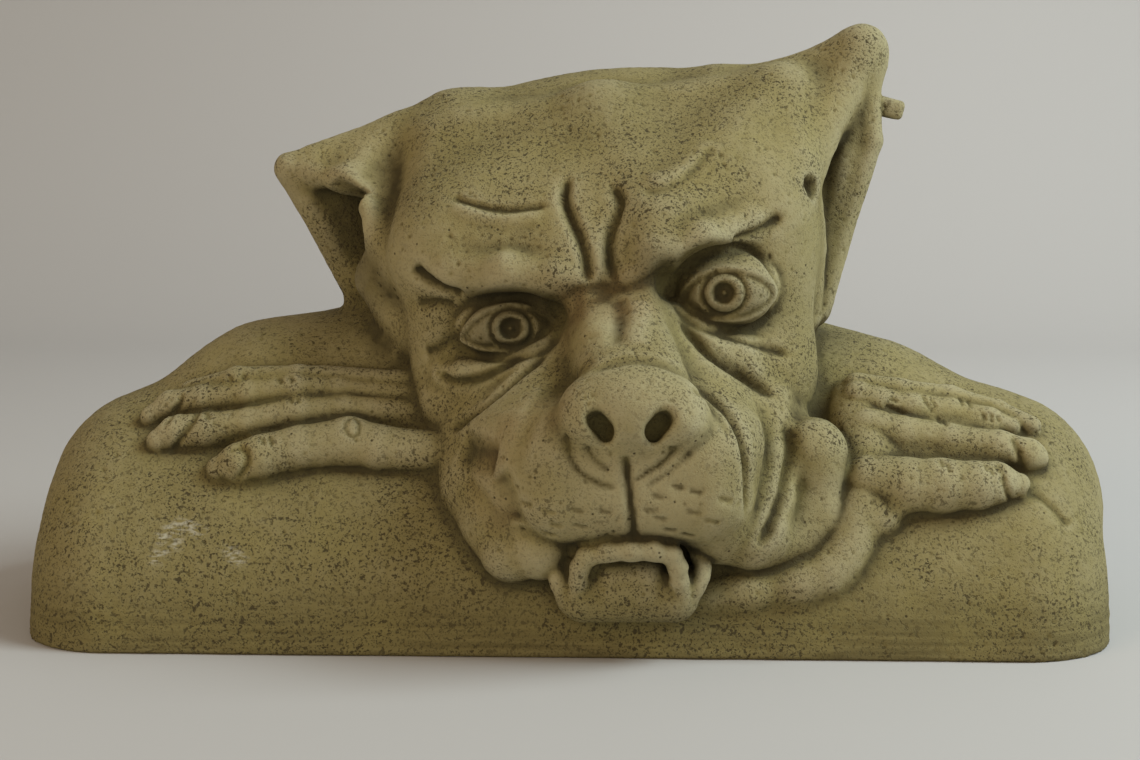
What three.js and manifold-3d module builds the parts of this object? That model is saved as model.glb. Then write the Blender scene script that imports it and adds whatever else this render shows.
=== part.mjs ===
// A stone gargoyle, cast in one piece: a wrinkled, flap-eared head resting on its folded arms.
// Millimetres. X runs across the piece, Y from the face to the back, Z up from the flat underside.
import * as THREE from "three";
import Module from "manifold-3d";

// The folded arms: one long rounded mound lying across X.
const armSpan = 438;          // between the upright ends of the mound
const moundRadius = 94;       // front and back are arcs of this radius
const moundEdge = 40;         // rounding where the arcs meet the upright ends
const shoulderReach = 175;    // from the middle to the centre of a shoulder
const shoulderRadius = 45;
const collarRadius = 58;      // where a shoulder meets the neck

// Head.
const headTilt = -6;          // degrees, the side with the raised brow is the higher one
const foreheadPitch = 28;     // degrees, the forehead slopes back from the brow
const faceMiddle = 17;        // the head sits a little to one side
const faceHalf = 83;
const browThickness = 14;
const muzzleHalf = 46;
const nosePad = [26.5, 18, 17.5];
const nostrilWing = [11, 13, 11.5];
const eyeSize = [21.5, 17, 13];
const raisedEyeSize = [21.5, 18, 16];
const jawHalf = 26.5;
const lipRadius = 3.4;
const earThickness = 5;

// Hands.
const fingerLift = 0.35;      // share of its radius a finger stands off the arm

// Surface.
const cell = 3.6;             // size of the cells the surface is found in
const triangleLimit = 9200;
const reach = 20;             // how far beyond its own size a form is still felt
const outside = 60;
const spare = 5;              // stone modelled below the standing face, then cut away

// ---------- forms: each one measures how far a point is from its surface ----------

function turned(degrees) {
  const [x, y, z] = degrees.map(THREE.MathUtils.degToRad);
  return new THREE.Matrix4().makeRotationFromEuler(new THREE.Euler(x, y, z, "ZYX"));
}

function local(matrix, at) {
  const e = matrix.elements;
  return (p) => {
    const [x, y, z] = [p[0] - at[0], p[1] - at[1], p[2] - at[2]];
    return [
      e[0] * x + e[1] * y + e[2] * z,
      e[4] * x + e[5] * y + e[6] * z,
      e[8] * x + e[9] * y + e[10] * z,
    ];
  };
}

function turnedBox(matrix, at, half) {
  const e = matrix.elements.map(Math.abs);
  const grown = [0, 1, 2].map((i) => e[i] * half[0] + e[4 + i] * half[1] + e[8 + i] * half[2]);
  return { low: at.map((v, i) => v - grown[i]), high: at.map((v, i) => v + grown[i]) };
}

// An egg with three half-sizes.
function lump(at, size, { turn = [0, 0, 0], blend = 4, cut = false } = {}) {
  const matrix = turned(turn);
  const into = local(matrix, at);
  const away = (p) => {
    const q = into(p);
    const near = Math.hypot(q[0] / size[0], q[1] / size[1], q[2] / size[2]);
    const steep = Math.hypot(q[0] / size[0] ** 2, q[1] / size[1] ** 2, q[2] / size[2] ** 2);
    return (near * (near - 1)) / Math.max(steep, 1e-9);
  };
  return { away, blend, cut, ...turnedBox(matrix, at, size) };
}

// A box with rounded edges.
function block(at, half, edge, { turn = [0, 0, 0], blend = 4, cut = false } = {}) {
  const matrix = turned(turn);
  const into = local(matrix, at);
  const away = (p) => {
    const q = into(p).map((v, i) => Math.abs(v) - half[i] + edge);
    const past = Math.hypot(...q.map((v) => Math.max(v, 0)));
    return past + Math.min(Math.max(...q), 0) - edge;
  };
  return { away, blend, cut, ...turnedBox(matrix, at, half) };
}

// A disc lying across X: round in Y and Z, with upright ends and rounded edges.
function drum(at, half, radius, edge, { blend = 4, cut = false } = {}) {
  const away = (p) => {
    const ends = Math.abs(p[0] - at[0]) - half + edge;
    const round = Math.hypot(p[1] - at[1], p[2] - at[2]) - radius + edge;
    const past = Math.hypot(Math.max(ends, 0), Math.max(round, 0));
    return past + Math.min(Math.max(ends, round), 0) - edge;
  };
  const size = [half, radius, radius];
  return { away, blend, cut, low: at.map((v, i) => v - size[i]), high: at.map((v, i) => v + size[i]) };
}

// A rounded bar that changes radius from one end to the other.
function limb(from, fromRadius, to, toRadius, { blend = 4, cut = false } = {}) {
  const along = to.map((v, i) => v - from[i]);
  const length = along.reduce((sum, v) => sum + v * v, 0);
  const away = (p) => {
    const q = p.map((v, i) => v - from[i]);
    const dot = q[0] * along[0] + q[1] * along[1] + q[2] * along[2];
    const t = Math.min(Math.max(dot / Math.max(length, 1e-9), 0), 1);
    const gap = Math.hypot(q[0] - t * along[0], q[1] - t * along[1], q[2] - t * along[2]);
    return gap - fromRadius - (toRadius - fromRadius) * t;
  };
  const low = from.map((v, i) => Math.min(v - fromRadius, to[i] - toRadius));
  const high = from.map((v, i) => Math.max(v + fromRadius, to[i] + toRadius));
  return { away, blend, cut, low, high };
}

// A three-cornered slab, as thick as twice its edge radius.
function plate(corners, radius, { blend = 4, cut = false } = {}) {
  const triangle = new THREE.Triangle(...corners.map((c) => new THREE.Vector3(...c)));
  const point = new THREE.Vector3();
  const nearest = new THREE.Vector3();
  const away = (p) => {
    point.set(...p);
    triangle.closestPointToPoint(point, nearest);
    return nearest.distanceTo(point) - radius;
  };
  const low = [0, 1, 2].map((i) => Math.min(...corners.map((c) => c[i])) - radius);
  const high = [0, 1, 2].map((i) => Math.max(...corners.map((c) => c[i])) + radius);
  return { away, blend, cut, low, high };
}

// A curved run of limbs through a few stations, each with its own radius.
function rope(stations, radii, { blend = 4, link = 2, steps = 2, cut = false } = {}) {
  const curve = new THREE.CatmullRomCurve3(
    stations.map((s) => new THREE.Vector3(...s)), false, "catmullrom", 0.5);
  const runs = (stations.length - 1) * steps;
  const radiusAt = (t) => {
    const k = Math.min(Math.floor(t * (radii.length - 1)), radii.length - 2);
    return THREE.MathUtils.lerp(radii[k], radii[k + 1], t * (radii.length - 1) - k);
  };
  const out = [];
  for (let i = 0; i < runs; i += 1) {
    const [t0, t1] = [i / runs, (i + 1) / runs];
    const smooth = i === 0 ? blend : link;
    out.push(limb(
      curve.getPoint(t0).toArray(), radiusAt(t0),
      curve.getPoint(t1).toArray(), radiusAt(t1), { blend: smooth, cut }));
  }
  return out;
}

// ---------- joining distances ----------

function softJoin(a, b, k) {
  const h = k > 0 ? Math.max(k - Math.abs(a - b), 0) / k : 0;
  return Math.min(a, b) - (h * h * k) / 4;
}

function softCut(a, b, k) {
  const h = k > 0 ? Math.max(k - Math.abs(a + b), 0) / k : 0;
  return Math.max(a, -b) + (h * h * k) / 4;
}

function felt(form, p) {
  const grow = form.blend + reach;
  return p.every((v, i) => v > form.low[i] - grow && v < form.high[i] + grow);
}

function distanceTo(groups, p) {
  let total = outside;
  for (const group of groups) {
    let own = outside;
    for (const form of group.forms) {
      if (!felt(form, p)) continue;
      const gap = form.away(p);
      own = form.cut ? softCut(own, gap, form.blend) : softJoin(own, gap, form.blend);
    }
    total = softJoin(total, own, group.blend);
  }
  return total;
}

// ---------- the folded arms ----------

const arms = {
  blend: 0,
  forms: [
    drum([0, 1, -5], armSpan / 2, moundRadius, moundEdge, { blend: 26 }),
    ...rope([[3 - shoulderReach, -4, 44], [-124, 10, 64], [-60, 24, 72]],
      [shoulderRadius - 1, 55, collarRadius], { blend: 14, link: 10, steps: 1 }),
    ...rope([[3 + shoulderReach, -4, 43], [122, 10, 58], [60, 24, 70]],
      [shoulderRadius + 1, 54, collarRadius - 1], { blend: 14, link: 10, steps: 1 }),
    lump([0, 40, 52], [150, 58, 80], { blend: 26 }),
  ],
};

// A point over the arms at x and z, standing off their front by the given lift.
function onArms(x, z, lift) {
  let [front, back] = [-140, 40];
  for (let i = 0; i < 24; i += 1) {
    const middle = (front + back) / 2;
    if (distanceTo([arms], [x, middle, z]) > lift) front = middle;
    else back = middle;
  }
  return [x, back, z];
}

// ---------- the head ----------

const skull = [
  block([faceMiddle - 1, 14, 168], [faceHalf + 3, 64, 42], 38,
    { turn: [foreheadPitch, headTilt, 0], blend: 24 }),
  lump([18, 44, 150], [faceHalf + 1, 60, 74], { turn: [0, headTilt, 0], blend: 24 }),
  block([faceMiddle, -10, 132], [faceHalf, 40, 50], 20, { turn: [0, headTilt / 2, 0], blend: 16 }),
  block([26, -26, 78], [70, 32, 44], 22, { turn: [0, headTilt, 0], blend: 16 }),
  limb([-53, 24, 194], 23, [-107, 10, 186], 8, { blend: 20 }),               // ear roots
  limb([81, 24, 201], 28, [122, 14, 231], 8, { blend: 20 }),
  limb([92, 20, 213], 14, [119, 13, 233], 9, { blend: 12 }),
];

const snout = [
  block([27, -82, 74], [muzzleHalf, 34, 27], 20, { blend: 12 }),
  ...rope([[-8, -92, 58], [11, -101, 60], [27, -103, 61], [45, -101, 60], [64, -93, 57]],
    [9, 9, 9, 9, 8], { blend: 6, steps: 1 }),
  limb([12, -59, 132], 9.5, [20, -92, 108], 15, { blend: 9 }),               // bridge
  limb([27, -63, 136], 9.5, [33, -92, 108], 15, { blend: 9 }),
  limb([0, -50, 117], 13, [-12, -76, 81], 24, { blend: 16 }),                // flanks
  limb([45, -57, 119], 11, [57, -81, 84], 19, { blend: 12 }),
  plate([[38, -60, 126], [55, -76, 95], [77, -56, 93]], 9, { blend: 10 }),
  lump([27, -106, 100], nosePad, { blend: 6 }),
  lump([11, -109, 98], nostrilWing, { blend: 4 }),
  lump([44, -109, 98], nostrilWing, { blend: 4 }),
];

// The brow and forehead are thick slabs between these points of the skull.
const [lowBrow, browRoot, raisedBrow] = [[-54, -34, 152], [4, -54, 148], [38, -52, 162]];
const [lowTemple, crown, highCrown] = [[-53, 4, 193], [13, 0, 203], [88, 2, 212]];
const highTemple = [89, -20, 187];

const brows = [
  ...[
    [lowBrow, browRoot, crown], [lowBrow, lowTemple, crown], [browRoot, crown, raisedBrow],
    [raisedBrow, crown, highCrown], [raisedBrow, highTemple, highCrown],
  ].map((corners) => plate(corners, browThickness, { blend: 12 })),
  ...rope([[-63, -28, 150], [-44, -50, 146], [-22, -61, 147], [-2, -65, 146], [9, -68, 142]],
    [7, 8, 8, 7, 5], { blend: 9, link: 4, steps: 1 }),
  ...rope([[27, -68, 143], [36, -67, 155], [53, -64, 160], [71, -48, 166], [89, -26, 175]],
    [5, 7, 8, 8, 6], { blend: 9, link: 4, steps: 1 }),
];

const sockets = [
  lump([-21, -88, 130], [23, 37, 14], { turn: [0, 4, 0], blend: 3, cut: true }),
  lump([61, -88, 145], [23.5, 38, 17.5], { turn: [0, -8, 0], blend: 3, cut: true }),
  limb([-6, -86, 137], 4.5, [-4, -62, 131], 4.5, { blend: 4, cut: true }),
  limb([39, -88, 154], 4.5, [41, -63, 143], 4.5, { blend: 4, cut: true }),
];

const eyes = [
  lump([-23, -49, 124], eyeSize, { turn: [0, 3, 0], blend: 2 }),
  lump([64, -50, 140], raisedEyeSize, { turn: [0, -3, 0], blend: 2 }),
];

const bags = [
  [[[-49, -50, 105], [-40, -56, 106], [-24, -60, 107], [-6, -64, 116]], [4, 6, 7, 5], 5],
  [[[-50, -44, 93], [-30, -58, 97], [-10, -66, 110]], [8, 9, 7], 6],
  [[[53, -64, 123], [69, -58, 116], [88, -43, 114]], [5, 6, 5], 5],
  [[[56, -64, 116], [70, -57, 107], [89, -42, 100]], [7, 9, 7], 5],
  [[[49, -72, 106], [68, -61, 90], [84, -50, 79]], [8, 11, 11], 6],
].flatMap(([stations, radii, blend]) => rope(stations, radii, { blend, steps: 1 }));

const jowls = [
  ...rope([[-44, -34, 82], [-31, -66, 63], [-19, -86, 43]], [15, 18, 14], { blend: 12 }),
  ...rope([[-25, -66, 81], [-17, -80, 68], [-8, -90, 46]], [13, 16, 15], { blend: 16, steps: 1 }),
  ...rope([[78, -56, 93], [81, -71, 73], [76, -84, 52]], [11, 12, 12], { blend: 6 }),
  limb([58, -86, 70], 14, [60, -88, 50], 13, { blend: 8 }),
  limb([88, -50, 79], 14, [86, -66, 50], 14, { blend: 6 }),
  block([98, -64, 62], [13, 16, 27], 12.5, { turn: [0, 2, 0], blend: 4 }),   // hanging cheek
  block([96, -67, 48], [14.5, 15, 17], 12.5, { turn: [0, 14, 0], blend: 5 }),
  limb([89, -74, 43], 12, [74, -85, 44], 10, { blend: 7 }),
];

const nostrils = [
  limb([11, -136, 104.5], 3, [14.5, -116, 96.5], 3.5, { blend: 3, cut: true }),
  limb([14.5, -136, 100.5], 3.2, [17.7, -115, 92.5], 3.5, { blend: 3, cut: true }),
  limb([41, -136, 104.5], 3.2, [37.5, -116, 96.5], 3.6, { blend: 3, cut: true }),
  limb([37.5, -136, 100.5], 3.2, [34.3, -115, 92.5], 3.5, { blend: 3, cut: true }),
];

const head = {
  blend: 4,
  forms: [skull, snout, brows, sockets, eyes, bags, jowls, nostrils].flat(),
};

// The lower jaw: a chin block, an arched lip over a convex plate, two side flaps and the rim.
const jaw = {
  blend: 1.5,
  forms: [
    block([26, -82, 27], [jawHalf, 23, 11], 9, { blend: 0 }),
    ...rope([[6, -99, 25], [7, -104, 34], [10, -107, 44], [27, -109, 47], [42, -107, 45],
      [45, -104, 34], [47, -99, 25]], Array(7).fill(lipRadius), { blend: 1.5 }),
    block([26, -96.5, 32], [14, 9.5, 10.5], 8, { blend: 2 }),
    ...rope([[0, -92, 45], [-2, -97, 38], [0, -99, 31], [3, -98, 24]], [2.8, 3.3, 3.3, 3.1],
      { blend: 1 }),
    ...rope([[51, -93, 44], [54, -97, 38], [52, -99, 31], [48, -98, 25]], [2.8, 3.1, 3.1, 3.1],
      { blend: 1 }),
    ...rope([[3, -97, 24], [26, -100, 24], [48, -97, 24]], Array(3).fill(lipRadius), { blend: 3 }),
  ],
};

// ---------- the ears: a back wall, a front flap folded over it, and the hollow between ----------

function ear({ tip, top, low, fold, end, hind, rim, wall, front, flap }) {
  return [
    plate([tip, top, low], earThickness, { blend: 0 }),
    plate([tip, hind, low], wall, { blend: 5 }),
    plate([tip, top, fold], front, { blend: 5 }),
    plate([top, fold, end], flap, { blend: 6 }),
    limb(tip, rim, hind, rim - 1, { blend: 3 }),
  ];
}

const droopedEar = {
  blend: 8,
  forms: [
    ...ear({
      tip: [-120, 8, 186], top: [-75, 22, 200], low: [-82, 14, 121], fold: [-93, -4, 181],
      end: [-71, -22, 148], hind: [-91, 16, 127], rim: 5.5, wall: 5, front: 5, flap: 7,
    }),
    ...rope([[-101, -14, 178], [-92, -10, 167], [-84, -8, 153]], [5, 11.5, 9],
      { blend: 5, cut: true }),
    limb([-90, -6, 166], 8.5, [-80, -2, 154], 5.5, { blend: 4, cut: true }),
    limb([-79, -7, 140], 12, [-60, -12, 120], 17, { blend: 14 }),
  ],
};

const prickedEar = {
  blend: 8,
  forms: [
    ...ear({
      tip: [124, 10, 237], top: [98, 24, 217], low: [105, 0, 127], fold: [98, -12, 190],
      end: [96, -18, 168], hind: [127, 6, 198], rim: 6, wall: 4, front: 8, flap: 5,
    }),
    limb([123, 12, 233], 8, [98, -8, 191], 8, { blend: 6 }),
    limb([127, 6, 198], 4, [105, 0, 127], 5, { blend: 3 }),
    ...rope([[124, -6, 207], [115, -8, 188], [110, -11, 167], [109, -12, 145]],
      [3, 6, 6, 4], { blend: 6, cut: true }),
    ...rope([[97, -16, 170], [100, -10, 153], [101, -6, 125]], [5, 5, 5], { blend: 4 }),
    block([133, 12, 212], [8, 5, 4], 2, { turn: [0, 14, 0], blend: 1 }),       // stub on the rim
  ],
};

// ---------- the hands ----------

// Four fingers lying side by side on the arm; each is a row of [x, z, radius] stations.
function fingers(rows) {
  return rows.flatMap((row) => rope(
    row.map(([x, z, radius]) => onArms(x, z, fingerLift * radius)),
    row.map((station) => station[2]), { blend: 0.5, steps: 1 }));
}

const lowHand = {
  blend: 2.2,
  forms: [
    block([-63, -29, 82], [22, 16, 17], 12, { turn: [-35, 0, 0], blend: 0 }),
    ...fingers([
      [[-50, 74, 9], [-75, 75, 9.5], [-88, 77, 10.6], [-107, 75, 9.4], [-122, 72, 9.3],
        [-131, 70, 8.2], [-139, 68, 5]],
      [[-56, 86, 7], [-91, 88, 7.5], [-109, 88, 7.3], [-129, 84, 6.6], [-146, 81, 7.6],
        [-159, 80, 7.2], [-166, 77, 4.8]],
      [[-57, 93, 6.5], [-94, 96, 6.5], [-111, 97, 6.8], [-130, 95, 6], [-149, 92, 6.3],
        [-164, 89, 6.3], [-172, 85, 4.4]],
      [[-61, 98, 6], [-111, 101, 5.6], [-136, 100, 5.6], [-157, 95, 4.2]],
    ]),
    limb([-69, -36, 78], 8, [-125, -45, 78], 6, { blend: 3 }),                 // between fingers
    limb([-70, -27, 90], 7, [-152, -35, 86], 5, { blend: 3 }),
  ],
};

const highHand = {
  blend: 2.2,
  forms: [
    ...rope([[117, -31, 92], [119, -44, 78], [120, -61, 63], [114, -73, 47], [107, -80, 35],
      [92, -83, 28], [54, -85, 23]], [9, 12, 12, 9.5, 8.5, 8.5, 7.5], { blend: 6, link: 6 }),
    ...fingers([
      [[120, 66, 10.6], [135, 64, 11.2], [148, 64, 11], [162, 64, 9.8], [170, 65, 8.4], [179, 64, 5]],
      [[121, 83, 9], [136, 80, 8.4], [154, 78, 8], [173, 76, 7.6], [185, 74, 6.4], [188, 73, 5]],
      [[119, 94, 7.5], [127, 92, 7], [140, 90, 6.8], [156, 88, 6.2], [171, 85, 6], [180, 83, 4]],
      [[119, 98, 6], [136, 96, 5.6], [157, 93, 5.2], [176, 88, 4.8], [189, 83, 4]],
    ]),
    limb([127, -51, 71], 9.6, [168, -53, 69], 8.2, { blend: 3 }),              // between fingers
    limb([128, -38, 84], 8, [170, -42, 80], 6, { blend: 3 }),
    lump([126, -73, 52], [6.5, 6.5, 6.5], { blend: 6 }),                       // wrist bone
  ],
};

const groups = [arms, head, jaw, droopedEar, prickedEar, lowHand, highHand];

// ---------- surface ----------

// Distances on a regular lattice, form by form, each only where it is felt.
function sampled() {
  const low = [-232, -136, -spare - 2 * cell];
  const high = [234, 116, 252];
  const count = high.map((v, a) => Math.ceil((v - low[a]) / cell) + 1);
  const size = count[0] * count[1] * count[2];
  const index = (i, j, k) => (i * count[1] + j) * count[2] + k;
  const place = (i, j, k) => [low[0] + i * cell, low[1] + j * cell, low[2] + k * cell];
  const total = new Float64Array(size).fill(outside);
  for (const group of groups) {
    const own = new Float64Array(size).fill(outside);
    for (const form of group.forms) {
      const grow = form.blend + reach;
      const from = low.map((v, a) => Math.max(Math.ceil((form.low[a] - grow - v) / cell), 0));
      const to = low.map((v, a) => (
        Math.min(Math.floor((form.high[a] + grow - v) / cell), count[a] - 1)));
      for (let i = from[0]; i <= to[0]; i += 1) {
        for (let j = from[1]; j <= to[1]; j += 1) {
          for (let k = from[2]; k <= to[2]; k += 1) {
            const at = index(i, j, k);
            const gap = form.away(place(i, j, k));
            own[at] = form.cut
              ? softCut(own[at], gap, form.blend) : softJoin(own[at], gap, form.blend);
          }
        }
      }
    }
    for (let at = 0; at < size; at += 1) total[at] = softJoin(total[at], own[at], group.blend);
  }
  for (let at = 0; at < size; at += count[2]) total.fill(cell / 2, at, at + 2);
  return { low, count, index, place, total };
}

const cellCorners = [0, 1, 2, 3, 4, 5, 6, 7].map((n) => [n & 1, (n >> 1) & 1, n >> 2]);
const cellEdges = [[0, 1], [2, 3], [4, 5], [6, 7], [0, 2], [1, 3], [4, 6], [5, 7],
  [0, 4], [1, 5], [2, 6], [3, 7]];

// Cells whose inside corners, or outside corners, hang together only across a diagonal are
// filled in, so that the surface stays a proper skin.
function fillPinches({ count, index, total }) {
  const joined = (signs, side) => {
    const wanted = cellCorners.map((_, n) => n).filter((n) => signs[n] === side);
    if (wanted.length < 2) return true;
    const seen = new Set([wanted[0]]);
    const todo = [wanted[0]];
    while (todo.length) {
      const n = todo.pop();
      for (const bit of [1, 2, 4]) {
        const next = n ^ bit;
        if (signs[next] === side && !seen.has(next)) {
          seen.add(next);
          todo.push(next);
        }
      }
    }
    return seen.size === wanted.length;
  };
  const faces = [[0, 1, 3, 2], [4, 5, 7, 6], [0, 1, 5, 4], [2, 3, 7, 6], [0, 2, 6, 4], [1, 3, 7, 5]];
  for (let pass = 0; pass < 12; pass += 1) {
    let changed = 0;
    for (let i = 0; i < count[0] - 1; i += 1) {
      for (let j = 0; j < count[1] - 1; j += 1) {
        for (let k = 0; k < count[2] - 1; k += 1) {
          const at = cellCorners.map(([a, b, c]) => index(i + a, j + b, k + c));
          const signs = at.map((n) => total[n] < 0);
          if (signs.every((s) => s === signs[0])) continue;
          const crossed = faces.some(([a, b, c, d]) => (
            signs[a] === signs[c] && signs[b] === signs[d] && signs[a] !== signs[b]));
          if (!crossed && joined(signs, true) && joined(signs, false)) continue;
          const open = at.filter((n) => total[n] >= 0);
          const least = open.reduce((best, n) => (total[n] < total[best] ? n : best), open[0]);
          total[least] = -0.05;
          changed += 1;
        }
      }
    }
    if (!changed) return;
  }
}

// One corner for every cell the skin passes through, and a pair of triangles for every crossing.
function skin(lattice) {
  const { count, index, place, total } = lattice;
  const corner = new Map();
  const points = [];
  for (let i = 0; i < count[0] - 1; i += 1) {
    for (let j = 0; j < count[1] - 1; j += 1) {
      for (let k = 0; k < count[2] - 1; k += 1) {
        const values = cellCorners.map(([a, b, c]) => total[index(i + a, j + b, k + c)]);
        const sum = [0, 0, 0];
        let hits = 0;
        for (const [m, n] of cellEdges) {
          if (values[m] < 0 === values[n] < 0) continue;
          const t = values[m] / (values[m] - values[n]);
          for (let a = 0; a < 3; a += 1) {
            sum[a] += cellCorners[m][a] + t * (cellCorners[n][a] - cellCorners[m][a]);
          }
          hits += 1;
        }
        if (!hits) continue;
        corner.set(index(i, j, k), points.length);
        points.push(place(i + sum[0] / hits, j + sum[1] / hits, k + sum[2] / hits));
      }
    }
  }
  const faces = [];
  const steps = [[1, 0, 0], [0, 1, 0], [0, 0, 1]];
  for (let axis = 0; axis < 3; axis += 1) {
    const [u, v] = [steps[(axis + 1) % 3], steps[(axis + 2) % 3]];
    for (let i = 1; i < count[0] - 1; i += 1) {
      for (let j = 1; j < count[1] - 1; j += 1) {
        for (let k = 1; k < count[2] - 1; k += 1) {
          const [a, b, c] = steps[axis];
          const here = total[index(i, j, k)] < 0;
          if (here === total[index(i + a, j + b, k + c)] < 0) continue;
          const ring = [[0, 0], [1, 0], [1, 1], [0, 1]].map(([m, n]) => corner.get(
            index(i - m * u[0] - n * v[0], j - m * u[1] - n * v[1], k - m * u[2] - n * v[2])));
          const [p, q, r, s] = here ? ring : ring.reverse();
          const longer = (m, n) => Math.hypot(...points[m].map((w, x) => w - points[n][x]));
          if (longer(p, r) < longer(q, s)) faces.push([p, q, r], [p, r, s]);
          else faces.push([p, q, s], [q, r, s]);
        }
      }
    }
  }
  return { points, faces };
}

// The outer skin alone, without the skins of any pockets the cuts leave inside.
function outermost({ points, faces }) {
  const parent = points.map((_, v) => v);
  const root = (v) => {
    let at = v;
    while (parent[at] !== at) {
      parent[at] = parent[parent[at]];
      at = parent[at];
    }
    return at;
  };
  for (const [p, q, r] of faces) {
    parent[root(p)] = root(q);
    parent[root(q)] = root(r);
  }
  const farLeft = points.reduce((best, point, v) => (point[0] < points[best][0] ? v : best), 0);
  return { points, faces: faces.filter((face) => root(face[0]) === root(farLeft)) };
}

// ---------- fewer triangles ----------

const minus = (a, b) => [a[0] - b[0], a[1] - b[1], a[2] - b[2]];
const cross = (a, b) => [
  a[1] * b[2] - a[2] * b[1], a[2] * b[0] - a[0] * b[2], a[0] * b[1] - a[1] * b[0]];
const dot = (a, b) => a[0] * b[0] + a[1] * b[1] + a[2] * b[2];
const facing = (a, b, c) => cross(minus(b, a), minus(c, a));

// Squared distance to a set of planes, held as the upper half of a symmetric 4 by 4 matrix.
function planeError(normal, offset, weight) {
  const [a, b, c, d] = [...normal, offset];
  return [a * a, a * b, a * c, a * d, b * b, b * c, b * d, c * c, c * d, d * d]
    .map((v) => v * weight);
}

function errorAt(q, [x, y, z]) {
  return q[0] * x * x + 2 * q[1] * x * y + 2 * q[2] * x * z + 2 * q[3] * x + q[4] * y * y
    + 2 * q[5] * y * z + 2 * q[6] * y + q[7] * z * z + 2 * q[8] * z + q[9];
}

function bestPoint(q, a, b) {
  const rows = [[q[0], q[1], q[2]], [q[1], q[4], q[5]], [q[2], q[5], q[7]]];
  const size = dot(rows[0], cross(rows[1], rows[2]));
  const middle = a.map((v, i) => (v + b[i]) / 2);
  const options = [middle, a, b];
  if (Math.abs(size) > 1e-3 * (q[0] + q[4] + q[7]) ** 3 / 27) {
    const right = [-q[3], -q[6], -q[8]];
    const solved = [cross(rows[1], rows[2]), cross(rows[2], rows[0]), cross(rows[0], rows[1])]
      .reduce((sum, v, i) => sum.map((w, x) => w + v[x] * right[i]), [0, 0, 0])
      .map((v) => v / size);
    if (Math.hypot(...minus(solved, middle)) < 2 * cell) options.unshift(solved);
  }
  const costs = options.map((p) => errorAt(q, p));
  const least = costs.indexOf(Math.min(...costs));
  return { point: options[least], cost: Math.max(costs[least], 0) };
}

class Heap {
  constructor() {
    this.items = [];
  }

  push(item) {
    const { items } = this;
    let i = items.push(item) - 1;
    while (i > 0) {
      const up = (i - 1) >> 1;
      if (items[up].cost <= items[i].cost) break;
      [items[up], items[i]] = [items[i], items[up]];
      i = up;
    }
  }

  pop() {
    const { items } = this;
    const first = items[0];
    const last = items.pop();
    if (!items.length) return first;
    items[0] = last;
    let i = 0;
    for (;;) {
      let least = i;
      for (const down of [2 * i + 1, 2 * i + 2]) {
        if (down < items.length && items[down].cost < items[least].cost) least = down;
      }
      if (least === i) return first;
      [items[least], items[i]] = [items[i], items[least]];
      i = least;
    }
  }
}

// Short edges are closed up one after another, cheapest first, until few enough triangles remain.
function thin({ points, faces }, limit) {
  const around = points.map(() => new Set());
  faces.forEach((face, n) => face.forEach((v) => around[v].add(n)));
  const errors = points.map(() => Array(10).fill(0));
  for (const face of faces) {
    const normal = facing(...face.map((v) => points[v]));
    const area = Math.hypot(...normal);
    const unit = normal.map((v) => v / Math.max(area, 1e-12));
    const add = planeError(unit, -dot(unit, points[face[0]]), area);
    for (const v of face) add.forEach((w, i) => { errors[v][i] += w; });
  }
  const version = new Int32Array(points.length);
  const heap = new Heap();
  const neighbours = (v) => {
    const out = new Set();
    for (const n of around[v]) for (const w of faces[n]) if (w !== v) out.add(w);
    return out;
  };
  const offer = (a, b) => {
    const sum = errors[a].map((v, i) => v + errors[b][i]);
    const { point, cost } = bestPoint(sum, points[a], points[b]);
    const length = dot(minus(points[a], points[b]), minus(points[a], points[b]));
    heap.push({ a, b, point, cost: cost + 1e-3 * length, stamp: version[a] + version[b] });
  };
  points.forEach((_, v) => neighbours(v).forEach((w) => { if (v < w) offer(v, w); }));
  const keepsFacing = (v, other, point) => [...around[v]].every((n) => {
    if (faces[n].includes(other)) return true;
    const before = facing(...faces[n].map((w) => points[w]));
    const corners = faces[n].map((w) => (w === v ? point : points[w]));
    const after = facing(...corners);
    const longest = Math.max(...corners.map((c, i) => (
      dot(minus(c, corners[(i + 1) % 3]), minus(c, corners[(i + 1) % 3])))));
    const size = Math.hypot(...after);
    return dot(before, after) > 0.35 * Math.hypot(...before) * size && size > 0.08 * longest;
  });
  let left = faces.length;
  while (left > limit && heap.items.length) {
    const { a, b, point, stamp } = heap.pop();
    if (!points[a] || !points[b] || stamp !== version[a] + version[b]) continue;
    const shared = [...neighbours(a)].filter((v) => neighbours(b).has(v));
    if (shared.length !== 2 || !neighbours(a).has(b)) continue;
    if (!keepsFacing(a, b, point) || !keepsFacing(b, a, point)) continue;
    for (const n of [...around[b]]) {
      if (faces[n].includes(a)) {
        faces[n].forEach((v) => around[v].delete(n));
        faces[n] = null;
        left -= 1;
      } else {
        faces[n] = faces[n].map((v) => (v === b ? a : v));
        around[a].add(n);
      }
    }
    errors[a] = errors[a].map((v, i) => v + errors[b][i]);
    points[a] = point;
    points[b] = null;
    neighbours(a).forEach((v) => { version[v] += 1; });
    version[a] += 1;
    neighbours(a).forEach((v) => offer(a, v));
    neighbours(a).forEach((v) => neighbours(v).forEach((w) => { if (w !== a && v < w) offer(v, w); }));
  }
  return { points, faces: faces.filter(Boolean) };
}

// ---------- the casting ----------

const { Manifold, Mesh } = await (async () => {
  const library = await Module();
  library.setup();
  return library;
})();

function solid(positions, indices) {
  return new Manifold(new Mesh({
    numProp: 3, vertProperties: new Float32Array(positions), triVerts: new Uint32Array(indices),
  }));
}

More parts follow.
